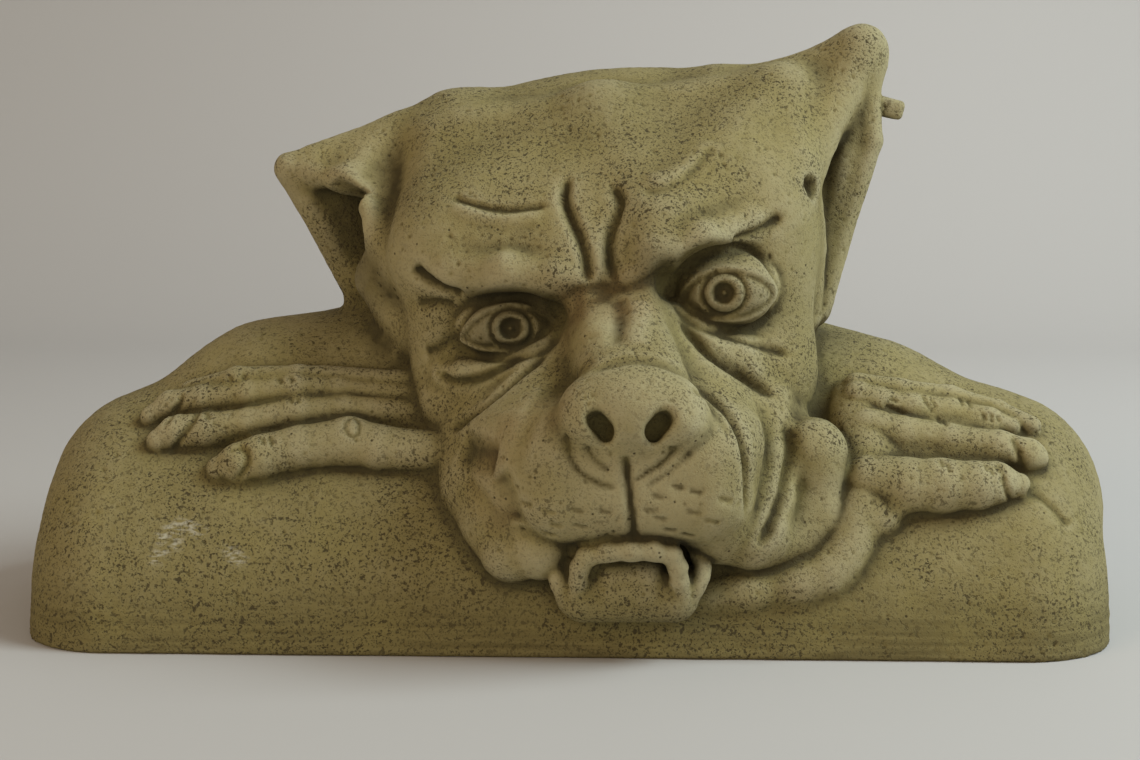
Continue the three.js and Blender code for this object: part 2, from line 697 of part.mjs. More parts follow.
function solidFromSkin({ points, faces }) {
  const used = new Map();
  faces.flat().forEach((v) => { if (!used.has(v)) used.set(v, used.size); });
  return solid([...used.keys()].flatMap((v) => points[v]), faces.flat().map((v) => used.get(v)));
}

// Everything under the standing face, as a slab to cut away.
function slabBelow(height) {
  const slab = new THREE.BoxGeometry(600, 400, 60);
  slab.translate(0, 0, height - 30);
  slab.deleteAttribute("normal");
  slab.deleteAttribute("uv");
  const { position } = slab.attributes;
  const seen = new Map();
  const points = [];
  const order = [...slab.index.array].map((v) => {
    const key = [position.getX(v), position.getY(v), position.getZ(v)];
    const name = key.join();
    if (!seen.has(name)) {
      seen.set(name, points.length);
      points.push(key);
    }
    return seen.get(name);
  });
  return solid(points.flat(), order);
}

const lattice = sampled();
fillPinches(lattice);
const casting = solidFromSkin(thin(outermost(skin(lattice)), triangleLimit)).subtract(slabBelow(0));
const mesh = casting.getMesh();
const geometry = new THREE.BufferGeometry();
geometry.setAttribute("position", new THREE.BufferAttribute(new Float32Array(mesh.vertProperties), 3));
geometry.setIndex(new THREE.BufferAttribute(new Uint32Array(mesh.triVerts), 1));
geometry.computeBoundingBox();
const middle = geometry.boundingBox.getCenter(new THREE.Vector3());
geometry.translate(-middle.x, -middle.y, 0);
geometry.computeVertexNormals();

const stone = new THREE.MeshStandardMaterial({ color: 0x8f8a66, roughness: 0.92, metalness: 0 });
const gargoyle = new THREE.Mesh(geometry, stone);
gargoyle.name = "gargoyle";

const part = new THREE.Group();
part.add(gargoyle);
export default part;
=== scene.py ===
import bpy
import bmesh
import math
import random
import numpy as np
from mathutils import Vector, Matrix, noise
from mathutils.bvhtree import BVHTree
from mathutils.kdtree import KDTree


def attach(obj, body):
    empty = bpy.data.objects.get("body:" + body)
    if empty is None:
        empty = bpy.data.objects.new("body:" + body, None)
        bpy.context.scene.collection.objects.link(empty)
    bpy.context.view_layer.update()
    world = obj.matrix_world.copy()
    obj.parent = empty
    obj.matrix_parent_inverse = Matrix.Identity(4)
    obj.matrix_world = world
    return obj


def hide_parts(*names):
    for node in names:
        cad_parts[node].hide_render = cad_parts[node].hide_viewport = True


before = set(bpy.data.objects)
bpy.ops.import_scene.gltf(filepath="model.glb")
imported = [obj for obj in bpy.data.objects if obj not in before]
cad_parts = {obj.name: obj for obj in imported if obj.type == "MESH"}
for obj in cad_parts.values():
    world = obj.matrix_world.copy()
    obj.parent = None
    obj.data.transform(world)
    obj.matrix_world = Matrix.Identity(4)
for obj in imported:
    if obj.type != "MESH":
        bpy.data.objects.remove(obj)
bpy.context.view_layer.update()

# Sizes here are millimetres on the carver's own axes: X across, Y from the face to the
# back, Z up. castShift carries them to the frame, and the mesh is made metres at the end.
casting = {
    "castShift": (-2.16, 9.96, 0.0),
    "blockOut": 2.4,      # first remesh, for the big forms
    "middle": 1.6,        # second remesh
    "skin": 1.15,         # last remesh, for the carving
    "rounds": (6, 3, 2),  # times the skin is drawn onto the forms after each remesh
    "triangles": 190000,
    "farAway": 30.0,
    "felt": 16,           # least distance beyond its box at which a form is counted
}
shift = np.array(casting["castShift"])
farAway = casting["farAway"]
# where the camera stands and looks, and the upright plane that the strokes are drawn on
sight = {"eye": (28.3, -806.5, 209.4), "aim": (0.0, 0.0, 96.0), "plane": -60.0, "lens": 60.0}


# forms: each says how far a point is from its surface

def turnMatrix(turn):
    x, y, z = [math.radians(a) for a in turn]
    aboutZ, aboutY, aboutX = (Matrix.Rotation(angle, 3, axis)
                              for angle, axis in ((z, "Z"), (y, "Y"), (x, "X")))
    return np.array(aboutZ @ aboutY @ aboutX)


def lump(at, size, turn=(0, 0, 0), blend=4, cut=False):
    at, size, m = np.array(at, float), np.array(size, float), turnMatrix(turn)

    def away(p):
        q = (p - at) @ m
        near = np.sqrt(((q / size) ** 2).sum(1))
        steep = np.sqrt(((q / size ** 2) ** 2).sum(1))
        return near * (near - 1) / np.maximum(steep, 1e-9)
    grown = np.abs(m) @ size
    return {"away": away, "blend": blend, "cut": cut, "low": at - grown, "high": at + grown}


def block(at, half, edge, turn=(0, 0, 0), blend=4, cut=False):
    at, half, m = np.array(at, float), np.array(half, float), turnMatrix(turn)

    def away(p):
        q = np.abs((p - at) @ m) - (half - edge)
        return np.sqrt((np.maximum(q, 0) ** 2).sum(1)) + np.minimum(q.max(axis=1), 0) - edge
    grown = np.abs(m) @ half
    return {"away": away, "blend": blend, "cut": cut, "low": at - grown, "high": at + grown}


def limb(a, ra, b, rb, blend=4, cut=False):
    a, b = np.array(a, float), np.array(b, float)
    along = b - a
    length = max(float(along @ along), 1e-9)

    def away(p):
        q = p - a
        t = np.clip(q @ along / length, 0, 1)
        return np.sqrt(((q - t[:, None] * along) ** 2).sum(1)) - ra - (rb - ra) * t
    return {"away": away, "blend": blend, "cut": cut,
            "low": np.minimum(a - ra, b - rb), "high": np.maximum(a + ra, b + rb)}


# a round bar along X with rounded rims
def drum(at, half, radius, edge, blend=4, cut=False):
    at = np.array(at, float)

    def away(p):
        q = np.stack([np.abs(p[:, 0] - at[0]) - (half - edge),
                      np.hypot(p[:, 1] - at[1], p[:, 2] - at[2]) - (radius - edge)], 1)
        return np.sqrt((np.maximum(q, 0) ** 2).sum(1)) + np.minimum(q.max(axis=1), 0) - edge
    size = np.array((half, radius, radius), float)
    return {"away": away, "blend": blend, "cut": cut, "low": at - size, "high": at + size}


def plate(corners, radius, blend=4, cut=False):
    c = [np.array(v, float) for v in corners]
    sides = [c[1] - c[0], c[2] - c[1], c[0] - c[2]]
    n = np.cross(sides[0], sides[2])

    def away(p):
        inside = 0
        edge = None
        for corner, side in zip(c, sides):
            q = p - corner
            inside = inside + np.sign(q @ np.cross(side, n))
            t = np.clip(q @ side / (side @ side), 0, 1)
            gap = ((q - t[:, None] * side) ** 2).sum(1)
            edge = gap if edge is None else np.minimum(edge, gap)
        level = ((p - c[0]) @ n) ** 2 / (n @ n)
        return np.sqrt(np.where(inside < 2, edge, level)) - radius
    allCorners = np.array(c)
    return {"away": away, "blend": blend, "cut": cut,
            "low": allCorners.min(0) - radius, "high": allCorners.max(0) + radius}


def curveThrough(stations, steps):
    s = np.array(stations, float)
    out = []
    for i in range(len(s) - 1):
        a, b, c, d = s[max(i - 1, 0)], s[i], s[i + 1], s[min(i + 2, len(s) - 1)]
        for k in range(steps):
            t = k / steps
            out.append(0.5 * (2 * b + (c - a) * t + (2 * a - 5 * b + 4 * c - d) * t ** 2
                              + (3 * b - a - 3 * c + d) * t ** 3))
    out.append(s[-1])
    return np.array(out)


def rope(stations, radii, blend=4, link=2, steps=2, cut=False):
    s = curveThrough([list(a) + [r] for a, r in zip(stations, radii)], steps)
    return [limb(a[:3], a[3], b[:3], b[3], blend if i == 0 else link, cut)
            for i, (a, b) in enumerate(zip(s[:-1], s[1:]))]


def softJoin(a, b, k):
    if k <= 0:
        return np.minimum(a, b)
    h = np.maximum(k - np.abs(a - b), 0) / k
    return np.minimum(a, b) - h * h * k / 4


def softCut(a, b, k):
    if k <= 0:
        return np.maximum(a, -b)
    h = np.maximum(k - np.abs(a + b), 0) / k
    return np.maximum(a, -b) + h * h * k / 4


def distance(groups, p, margin=6.0):
    total = np.full(len(p), farAway)
    for groupBlend, forms in groups:
        own = np.full(len(p), farAway)
        for f in forms:
            grow = max(1.4 * f["blend"], casting["felt"]) + margin
            near = np.nonzero(((p > f["low"] - grow) & (p < f["high"] + grow)).all(1))[0]
            if not len(near):
                continue
            gap = f["away"](p[near])
            mix = softCut if f["cut"] else softJoin
            own[near] = mix(own[near], gap, f["blend"])
        total = softJoin(total, own, groupBlend)
    return np.maximum(total, -p[:, 2])


# the folded arms

arms = (0, [
    drum((0, 1, -5), 219, 94, 40, blend=26),
    *rope([(-172, -4, 44), (-124, 10, 64), (-60, 24, 72)], [44, 55, 58], blend=14, link=10,
          steps=1),
    *rope([(178, -4, 43), (122, 10, 58), (60, 24, 70)], [46, 54, 57], blend=14, link=10, steps=1),
    lump((0, 40, 52), (150, 58, 80), blend=26),
])


# y of the arms' front at x and z, standing off by lift
def onArms(x, z, lift):
    ys = np.arange(-135.0, 45.0, 0.5)
    gaps = distance([arms], np.stack([np.full(len(ys), x), ys, np.full(len(ys), z)], 1))
    inside = gaps < lift
    return (x, ys[np.argmax(inside)] if inside.any() else ys[np.argmin(gaps)], z)


# the head

skull = [
    block((16, 14, 168), (86, 64, 42), 38, turn=(28, -6, 0), blend=24),
    lump((18, 44, 150), (84, 60, 74), turn=(0, -6, 0), blend=24),
    block((17, -10, 132), (83, 40, 50), 20, turn=(0, -3, 0), blend=16),
    block((26, -26, 78), (70, 32, 44), 22, turn=(0, -6, 0), blend=16),
    limb((-53, 24, 194), 23, (-107, 10, 186), 8, blend=20),
    limb((81, 24, 201), 28, (122, 14, 231), 8, blend=20),
    limb((92, 20, 213), 14, (119, 13, 233), 9, blend=12),
]
snout = [
    block((27, -82, 74), (46, 34, 27), 20, blend=12),
    *rope([(-8, -92, 58), (11, -101, 60), (27, -103, 61), (45, -101, 60), (64, -93, 57)],
          [9, 9, 9, 9, 8], blend=6, steps=1),
    limb((12, -59, 132), 9.5, (20, -92, 108), 15, blend=9),
    limb((27, -63, 136), 9.5, (33, -92, 108), 15, blend=9),
    limb((0, -50, 117), 13, (-12, -76, 81), 24, blend=16),
    limb((45, -57, 119), 11, (57, -81, 84), 19, blend=12),
    plate([(38, -60, 126), (55, -76, 95), (77, -56, 93)], 9, blend=10),
    lump((27, -106, 100), (26.5, 18, 17.5), blend=6),
    lump((11, -109, 98), (11, 13, 11.5), blend=4),
    lump((44, -109, 98), (11, 13, 11.5), blend=4),
]
brows = [
    plate([(-54, -34, 152), (4, -54, 148), (13, 0, 203)], 14, blend=12),
    plate([(-54, -34, 152), (-53, 4, 193), (13, 0, 203)], 14, blend=12),
    plate([(4, -54, 148), (13, 0, 203), (38, -52, 162)], 14, blend=12),
    plate([(38, -52, 162), (13, 0, 203), (88, 2, 212)], 14, blend=12),
    plate([(38, -52, 162), (89, -20, 187), (88, 2, 212)], 14, blend=12),
    *rope([(-63, -28, 150), (-44, -50, 146), (-22, -61, 147), (-2, -65, 146), (9, -68, 142)],
          [7, 8, 8, 7, 5], blend=9, link=4, steps=1),
    *rope([(27, -68, 143), (36, -67, 155), (53, -64, 160), (71, -48, 166), (89, -26, 175)],
          [5, 7, 8, 8, 6], blend=9, link=4, steps=1),
]
sockets = [
    lump((-21, -88, 130), (23, 37, 14), turn=(0, 4, 0), blend=3, cut=True),
    lump((61, -88, 145), (23.5, 38, 17.5), turn=(0, -8, 0), blend=3, cut=True),
    limb((-6, -86, 137), 4.5, (-4, -62, 131), 4.5, blend=4, cut=True),
    limb((39, -88, 154), 4.5, (41, -63, 143), 4.5, blend=4, cut=True),
]
eyes = [
    lump((-23, -49, 124), (21.5, 17, 13), turn=(0, 3, 0), blend=2),
    lump((64, -50, 140), (21.5, 18, 16), turn=(0, -3, 0), blend=2),
]
bags = [
    *rope([(-49, -50, 105), (-40, -56, 106), (-24, -60, 107), (-6, -64, 116)], [4, 6, 7, 5],
          blend=5, steps=1),
    *rope([(-50, -44, 93), (-30, -58, 97), (-10, -66, 110)], [8, 9, 7], blend=6, steps=1),
    *rope([(53, -64, 123), (69, -58, 116), (88, -43, 114)], [5, 6, 5], blend=5, steps=1),
    *rope([(56, -64, 116), (70, -57, 107), (89, -42, 100)], [7, 9, 7], blend=5, steps=1),
    *rope([(49, -72, 106), (68, -61, 90), (84, -50, 79)], [8, 11, 11], blend=6, steps=1),
]
jowls = [
    *rope([(-44, -34, 82), (-31, -66, 63), (-19, -86, 43)], [15, 18, 14], blend=12),
    *rope([(-25, -66, 81), (-17, -80, 68), (-8, -90, 46)], [13, 16, 15], blend=16, steps=1),
    *rope([(78, -56, 93), (81, -71, 73), (76, -84, 52)], [11, 12, 12], blend=6),
    *rope([(58, -86, 70), (60, -88, 50)], [14, 13], blend=8, steps=1),
    limb((88, -50, 79), 14, (86, -66, 50), 14, blend=6),
    block((98, -64, 63), (13, 16, 27), 12.5, turn=(0, 2, 0), blend=4),
    block((97, -67, 48), (14.5, 15, 17), 12.5, turn=(0, 14, 0), blend=5),
    *rope([(89, -74, 43), (74, -85, 44)], [12, 10], blend=7, link=6, steps=1),
]
hollows = [
    limb((11, -136, 104.5), 3.0, (14.5, -116, 96.5), 3.5, blend=3, cut=True),
    limb((14.5, -136, 100.5), 3.2, (17.7, -115, 92.5), 3.5, blend=3, cut=True),
    limb((41, -136, 104.5), 3.2, (37.5, -116, 96.5), 3.6, blend=3, cut=True),
    limb((37.5, -136, 100.5), 3.2, (34.3, -115, 92.5), 3.5, blend=3, cut=True),
]
head = (4, [*skull, *snout, *brows, *sockets, *eyes, *bags, *jowls, *hollows])

jaw = (1.5, [
    block((26, -82, 27), (26.5, 23, 11), 9, blend=0),
    *rope([(6, -99, 25), (7, -104, 34), (10, -107, 44), (27, -109, 47), (42, -107, 45),
           (45, -104, 34), (47, -99, 25)], [3.4, 3.4, 3.8, 4, 3.8, 3.4, 3.4], blend=1.5),
    block((26, -96.5, 32), (14, 9.5, 10.5), 8, blend=2),
    *rope([(0, -92, 45), (-2, -97, 38), (0, -99, 31), (3, -98, 24)], [2.8, 3.3, 3.3, 3.1], blend=1),
    *rope([(51, -93, 44), (54, -97, 38), (52, -99, 31), (48, -98, 25)], [2.8, 3.1, 3.1, 3.1],
          blend=1),
    *rope([(3, -97, 24), (26, -100, 24), (48, -97, 24)], [3.4, 3.4, 3.4], blend=3),
])

# the ears

leftTip, leftTop, leftLow = (-120, 8, 186), (-75, 22, 200), (-82, 14, 121)
leftFold, leftEnd, leftHind = (-93, -4, 181), (-71, -22, 148), (-91, 16, 127)
droopedEar = (8, [
    plate([leftTip, leftTop, leftLow], 5, blend=0),
    plate([leftTip, leftHind, leftLow], 5, blend=4),
    plate([leftTip, leftTop, leftFold], 5, blend=5),
    plate([leftTop, leftFold, leftEnd], 7, blend=6),
    limb(leftTip, 5, leftHind, 5, blend=3),
    *rope([(-101, -14, 178), (-92, -10, 167), (-84, -8, 153)], [5, 11.5, 9], blend=5, cut=True),
    limb((-90, -6, 166), 8.5, (-80, -2, 154), 5.5, blend=4, cut=True),
    limb((-79, -7, 140), 12, (-60, -12, 120), 17, blend=14),
    limb((-84, -15, 170), 3.8, (-76, -19, 151), 4.5, blend=4),
])
rightTip, rightTop, rightLow = (124, 10, 237), (98, 24, 217), (105, 0, 127)
rightFold, rightHind = (98, -12, 190), (127, 6, 198)
prickedEar = (8, [
    plate([rightTip, rightTop, rightFold], 8, blend=0),
    plate([rightTip, rightHind, rightLow], 4, blend=5),
    plate([rightTip, rightTop, rightLow], 5, blend=5),
    limb((123, 12, 233), 8, (98, -8, 191), 8, blend=6),
    limb(rightTip, 6, rightHind, 4, blend=3),
    limb(rightHind, 4, rightLow, 5, blend=3),
    *rope([(124, -6, 207), (115, -8, 188), (110, -11, 167), (109, -12, 145)], [3, 6, 6, 4], blend=6,
          cut=True),
    *rope([(97, -16, 170), (100, -10, 153), (101, -6, 125)], [5, 5, 5], blend=4),
    block((133, 12, 212), (8, 5, 4), 2, turn=(0, 14, 0), blend=1),
])

# the hands


def fingers(rows):
    out = []
    for row in rows:
        out += rope([onArms(x, z, 0.35 * r) for x, z, r in row], [r for x, z, r in row], blend=0.5,
                    steps=1)
    return out


lowHand = (2.2, [
    block((-63, -29, 82), (22, 16, 17), 12, turn=(-35, 0, 0), blend=0),
    *fingers([
        [(-50, 74, 9), (-75, 75, 9.5), (-88, 77, 10.6), (-107, 75, 9.4), (-122, 72, 9.3),
         (-131, 70, 8.2), (-139, 68, 5)],
        [(-56, 86, 7), (-91, 88, 7.5), (-109, 88, 7.3), (-129, 84, 6.6), (-146, 81, 7.6),
         (-159, 80, 7.2), (-166, 77, 4.8)],
        [(-57, 93, 6.5), (-94, 96, 6.5), (-111, 97, 6.8), (-130, 95, 6), (-149, 92, 6.3),
         (-164, 89, 6.3), (-172, 85, 4.4)],
        [(-61, 98, 6), (-111, 101, 5.6), (-136, 100, 5.6), (-157, 95, 4.2)],
    ]),
    limb((-69, -36, 78), 8, (-125, -45, 78), 6, blend=3),
    limb((-70, -27, 90), 7, (-152, -35, 86), 5, blend=3),
])
highHand = (2.2, [
    *rope([(117, -31, 92), (119, -44, 78), (120, -61, 63), (114, -73, 47), (107, -80, 35),
           (92, -83, 28), (54, -85, 23)], [9, 12, 12, 9.5, 8.5, 8.5, 7.5], blend=6, link=6),
    *fingers([
        [(120, 66, 10.6), (135, 64, 11.2), (148, 64, 11), (162, 64, 9.8), (170, 65, 8.4),
         (179, 64, 5)],
        [(121, 83, 9), (136, 80, 8.4), (154, 78, 8), (173, 76, 7.6), (185, 74, 6.4),
         (188, 73, 5)],
        [(119, 94, 7.5), (127, 92, 7), (140, 90, 6.8), (156, 88, 6.2), (171, 85, 6),
         (180, 83, 4)],
        [(119, 98, 6), (136, 96, 5.6), (157, 93, 5.2), (176, 88, 4.8), (189, 83, 4)],
    ]),
    limb((127, -51, 71), 9.6, (168, -53, 69), 8.2, blend=3),
    limb((128, -38, 84), 8, (170, -42, 80), 6, blend=3),
    lump((126, -73, 52), (6.5, 6.5, 6.5), blend=6),
])

groups = [arms, head, jaw, droopedEar, prickedEar, lowHand, highHand]


# from the frame's solid to a fine skin

def meshPoints(mesh):
    co = np.empty(len(mesh.vertices) * 3)
    mesh.vertices.foreach_get("co", co)
    return co.reshape(-1, 3)


def setPoints(mesh, points):
    mesh.vertices.foreach_set("co", points.ravel())
    mesh.update()


def meshNormals(mesh):
    out = np.empty(len(mesh.vertices) * 3)
    mesh.vertices.foreach_get("normal", out)
    return out.reshape(-1, 3)


# the piece's mesh with one modifier applied
def applied(piece, kind, **settings):
    modifier = piece.modifiers.new(kind.lower(), kind)
    for key, value in settings.items():
        setattr(modifier, key, value)
    bpy.context.view_layer.update()
    shaped = piece.evaluated_get(bpy.context.evaluated_depsgraph_get())
    mesh = bpy.data.meshes.new_from_object(shaped)
    piece.modifiers.clear()
    old = piece.data
    piece.data = mesh
    bpy.data.meshes.remove(old)
    return mesh


# each point moved part of the way to the middle of its neighbours
def evened(mesh, p, share):
    edges = np.empty(len(mesh.edges) * 2, np.int32)
    mesh.edges.foreach_get("vertices", edges)
    ends = edges.reshape(-1, 2)
    both = np.concatenate([ends, ends[:, ::-1]])
    count = np.bincount(both[:, 0], minlength=len(p))
    middle = np.stack([np.bincount(both[:, 0], p[both[:, 1], axis], len(p))
                       for axis in range(3)], 1)
    return p + (middle / np.maximum(count, 1)[:, None] - p) * share


# moves every vertex onto the forms' surface, keeping the mesh even
def settle(mesh, groups, rounds):
    p = meshPoints(mesh)
    share, step, buriedBelow, furthestOut, furthestIn = 0.5, 0.4, -1, -3, 4
    for turn in range(rounds):
        if turn:
            p = evened(mesh, p, share)
            setPoints(mesh, p)
        gap = distance(groups, p)
        slope = np.stack([distance(groups, p + step * axis) - gap for axis in np.eye(3)], 1) / step
        size = np.maximum(np.sqrt((slope ** 2).sum(1)), 0.3)
        out = slope / size[:, None]
        buried = gap < buriedBelow
        out[buried] = meshNormals(mesh)[buried]
        p = p - out * (np.clip(gap, furthestOut, furthestIn) / size)[:, None]
    setPoints(mesh, p)


gargoyle = bpy.data.objects.new("gargoyleStone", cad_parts["gargoyle"].data.copy())
bpy.context.scene.collection.objects.link(gargoyle)
bm = bmesh.new()
bm.from_mesh(gargoyle.data)
bmesh.ops.remove_doubles(bm, verts=bm.verts[:], dist=1e-6)
bmesh.ops.scale(bm, vec=(1000, 1000, 1000), verts=bm.verts[:])
bmesh.ops.translate(bm, vec=tuple(-shift), verts=bm.verts[:])
bm.to_mesh(gargoyle.data)
bm.free()
applied(gargoyle, "REMESH", mode="VOXEL", voxel_size=casting["blockOut"])
settle(gargoyle.data, groups, casting["rounds"][0])
applied(gargoyle, "REMESH", mode="VOXEL", voxel_size=casting["middle"])
settle(gargoyle.data, groups, casting["rounds"][1])
settledMesh = gargoyle.data
surfaceTree = BVHTree.FromPolygons([v.co for v in settledMesh.vertices],
                                   [p.vertices for p in settledMesh.polygons])
eyePoint = Vector(sight["eye"])
print("blocked out")


# a point drawn on the sight plane, carried back onto the stone, with the way out there
def laid(x, z):
    aim = (Vector((x, sight["plane"], z)) - eyePoint).normalized()
    where, normal, _, _ = surfaceTree.ray_cast(eyePoint, aim)
    return [*where, *normal]


def laidPath(points, steps):
    path = np.array([laid(x, z) for x, z in curveThrough(points, steps)])
    kernel = np.ones(5) / 5
    for column in range(6):
        padded = np.concatenate([[path[0, column]] * 2, path[:, column], [path[-1, column]] * 2])
        path[:, column] = np.convolve(padded, kernel, "valid")
    path[:, 3:] /= np.maximum(np.sqrt((path[:, 3:] ** 2).sum(1)), 1e-9)[:, None]
    return path


applied(gargoyle, "REMESH", mode="VOXEL", voxel_size=casting["skin"])
skin = gargoyle.data
settle(skin, groups, casting["rounds"][2])
print("skin", len(skin.vertices), "points")

# strokes pushed into the skin or raised from it
laying = {
    "steps": 6,            # points to a span of a carved stroke
    "lineSteps": 4,       # points to a span of a drawn line for stains, scuffs and painted shade
    "reach": 1.4,          # how far beyond its width a stroke is looked for
    "taper": 0.22,         # share of a stroke over which its ends fade
}
skinPoints = meshPoints(skin)
skinNormals = meshNormals(skin)


# for each point: gap to the path, place along it from 0 to 1, side of it, direction out
def nearestOn(path, p):
    best = np.full(len(p), 1e9)
    along = np.zeros(len(p))
    side = np.zeros(len(p))
    out = np.zeros((len(p), 3))
    count = len(path) - 1
    for i in range(count):
        a, b = path[i, :3], path[i + 1, :3]
        run = b - a
        t = np.clip((p - a) @ run / max(run @ run, 1e-9), 0, 1)
        off = p - a - t[:, None] * run
        gap = np.sqrt((off ** 2).sum(1))
        closer = gap < best
        up = path[i, 3:] * (1 - t[:, None]) + path[i + 1, 3:] * t[:, None]
        best = np.where(closer, gap, best)
        along = np.where(closer, (i + t) / count, along)
        side = np.where(closer, np.sign((np.cross(run, off) * up).sum(1)), side)
        out = np.where(closer[:, None], up, out)
    return best, along, side, out / np.maximum(np.sqrt((out ** 2).sum(1)), 1e-9)[:, None]


# the skin points in reach of a path, and what nearestOn says of them
def closeTo(path, width):
    reach = width * laying["reach"]
    near = np.nonzero(((skinPoints > path[:, :3].min(0) - reach)
                       & (skinPoints < path[:, :3].max(0) + reach)).all(1))[0]
    return near, *nearestOn(path, skinPoints[near])


# 1 along a stroke and 0 at its ends; an end given as 1 doesn't fade
def tapered(along, ends):
    start, stop = ends[0] + along / laying["taper"], ends[1] + (1 - along) / laying["taper"]
    fade = np.clip(np.minimum(start, stop), 0, 1)
    return fade * fade * (3 - 2 * fade)


# moves the points that face the way the stroke does
def push(near, out, move):
    facing = np.clip((skinNormals[near] * out).sum(1) * 3, 0, 1)
    skinPoints[near] += out * (move * facing)[:, None]


# depth cuts in for a groove, stands out for a roll, and lifts the left side of a ledge
def stroke(points, width, depth, kind="groove", ends=(0, 0), lip=0.0):
    near, gap, along, side, out = closeTo(laidPath(points, laying["steps"]), width)
    t = gap / width
    rounded = np.maximum(1 - t * t, 0) ** 2
    if kind == "groove":
        move = -depth * rounded + lip * np.exp(-((t - 1.1) / 0.3) ** 2)
    elif kind == "roll":
        move = depth * rounded
    else:
        move = depth * np.tanh(side * gap / 0.8) * np.maximum(1 - t, 0) ** 2
        move = move * np.where(side > 0, 1, lip)
    push(near, out, move * tapered(along, ends))


# a line with rounded shoulders and a narrow bottom
def score(points, radius, depth, blend=1.5, ends=(0.3, 0.3)):
    wide, narrow = radius * 2.2 + blend * 0.8, radius * 1.2 + 0.8
    near, gap, along, _, out = closeTo(laidPath(points, laying["steps"]), wide)
    move = -depth * (0.4 * np.maximum(1 - (gap / wide) ** 2, 0) ** 2
                     + 0.6 * np.maximum(1 - gap / narrow, 0) ** 1.2)
    push(near, out, move * tapered(along, ends))


# a round hole with a level bottom, and a small peg left standing in it
def pit(x, z, radius, depth, peg=0.0, flat=0.5):
    centre = np.array(laid(x, z))
    off = skinPoints - centre[:3]
    near = np.nonzero((np.abs(off) < radius * 1.6).all(1))[0]
    gap = np.sqrt((off[near] ** 2).sum(1)) / radius
    fall = np.clip((1 - gap) / (1 - flat), 0, 1)
    move = -depth * fall * fall * (3 - 2 * fall) + peg * np.exp(-(gap / 0.2) ** 2)
    skinPoints[near] += centre[3:] * move[:, None]


def ringPath(x, z, radius, squash=1.0, turns=20):
    return [(x + radius * math.sin(2 * math.pi * i / turns),
             z + squash * radius * math.cos(2 * math.pi * i / turns)) for i in range(turns + 1)]


# eye rims
score([(-43.6, 119.4), (-39.1, 129.8), (-29.5, 136.6), (-17.7, 138.2), (-6.6, 135.1),
        (-1.1, 127.6)], 1.5, 2.5)
score([(-43.6, 119.4), (-36.8, 114.7), (-25.7, 112.3), (-13.8, 114), (-5, 118.8),
        (-1.1, 127.6)], 1.3, 1.6)
score([(41.5, 134.9), (45.4, 147.5), (54.7, 155), (65.6, 157.4), (76.6, 153.9),
        (84.7, 139.8)], 1.6, 2.5)
score([(42.3, 134.9), (50.2, 127.8), (59.7, 124.2), (70, 125.1), (79.3, 130.3),
        (84.7, 139.8)], 1.3, 1.6)
# the small hole beside the pricked ear
pit(96.5, 180.9, 6, 4.5, flat=0.3)
# forehead and frown
score([(-44.3, 177.2), (-36.4, 174), (-25.4, 171.7), (-15.6, 172.1), (-6.9, 173.7)], 1.3, 2.2,
      blend=1)
score([(29.5, 178.8), (42, 181.2), (50.9, 187.4), (58.2, 197.5)], 2.4, 2.0, blend=5)
score([(1.3, 184.2), (-0.3, 177.6), (2.1, 169.8), (6, 161.6), (8.8, 152.1), (10, 142.7)], 1.3, 4.2,
      blend=2)
score([(18.9, 181.1), (21.7, 175.7), (20.1, 169.8), (17.8, 163.2), (17.8, 152.2),
        (19.4, 142.7)], 1.3, 4.2, blend=2)
score([(0.5, 136.3), (9.2, 140.3), (19.8, 141.1), (29.7, 141.6), (36.7, 145.9)], 2.2, 3.6, blend=3)
# under the brows, and crow's feet
score([(-60.3, 150), (-54.8, 144.1), (-47, 139.3), (-39.8, 137.8)], 1.9, 4.0, blend=2)
score([(64.8, 159), (75.7, 163.3), (85.8, 170.3)], 1.8, 2.6, blend=2)
score([(-58.9, 134.5), (-51, 135.3), (-43, 133.8)], 1.6, 2.0, blend=3)
score([(-55.9, 115.4), (-49.5, 117.4), (-43.1, 121)], 1.8, 2.2, blend=3)
# bags under the eyes
score([(-50.4, 107.4), (-45.7, 103.4), (-37.7, 103.8), (-28.9, 107.5), (-17.8, 114)], 1.3, 3.0)
score([(-45.5, 84.8), (-39.8, 88.1), (-29.8, 95.8), (-17.8, 106.3), (-7, 115.6)], 1.4, 3.4, blend=2)
score([(46.3, 128.6), (53.5, 119.4), (61.4, 112.3), (71.4, 106), (84.1, 98)], 1.8, 4.2, blend=2.5)
score([(59.7, 123.8), (68.4, 121.5), (77.1, 118.4), (89.8, 114.4)], 1.4, 2.2, blend=2)
# nose and lip
score([(0.1, 83.5), (1.3, 76.2), (5.3, 68.1), (12.1, 63.3), (21.3, 60.5)], 1.2, 1.3, blend=0.9)
score([(7.7, 78.7), (12.1, 72.2), (18.5, 67)], 1.1, 0.9, blend=0.9)
score([(46.3, 79.3), (39.6, 71.6), (32.5, 66.7), (26.9, 63)], 1.1, 1.1, blend=0.9)
score([(51.5, 76.5), (42.8, 68.4), (30.9, 60.6)], 1.1, 0.8, blend=0.9)
score([(24, 75.1), (25.3, 64.2), (26.9, 52), (27.8, 40.5)], 1.2, 2.2, blend=1, ends=(0.1, 1))
# folds of the right cheek
score([(53.7, 100.7), (62.4, 94.7), (68.9, 85.5), (72.2, 74.6), (73.1, 62.5), (72.9, 50.7)], 1.4,
      3.4, blend=2)
score([(87.8, 87.2), (89.9, 79.2), (89.3, 69.5), (87.1, 58.9), (83.3, 47.5), (77.9, 37.3)], 1.9,
      4.2, blend=1.8)
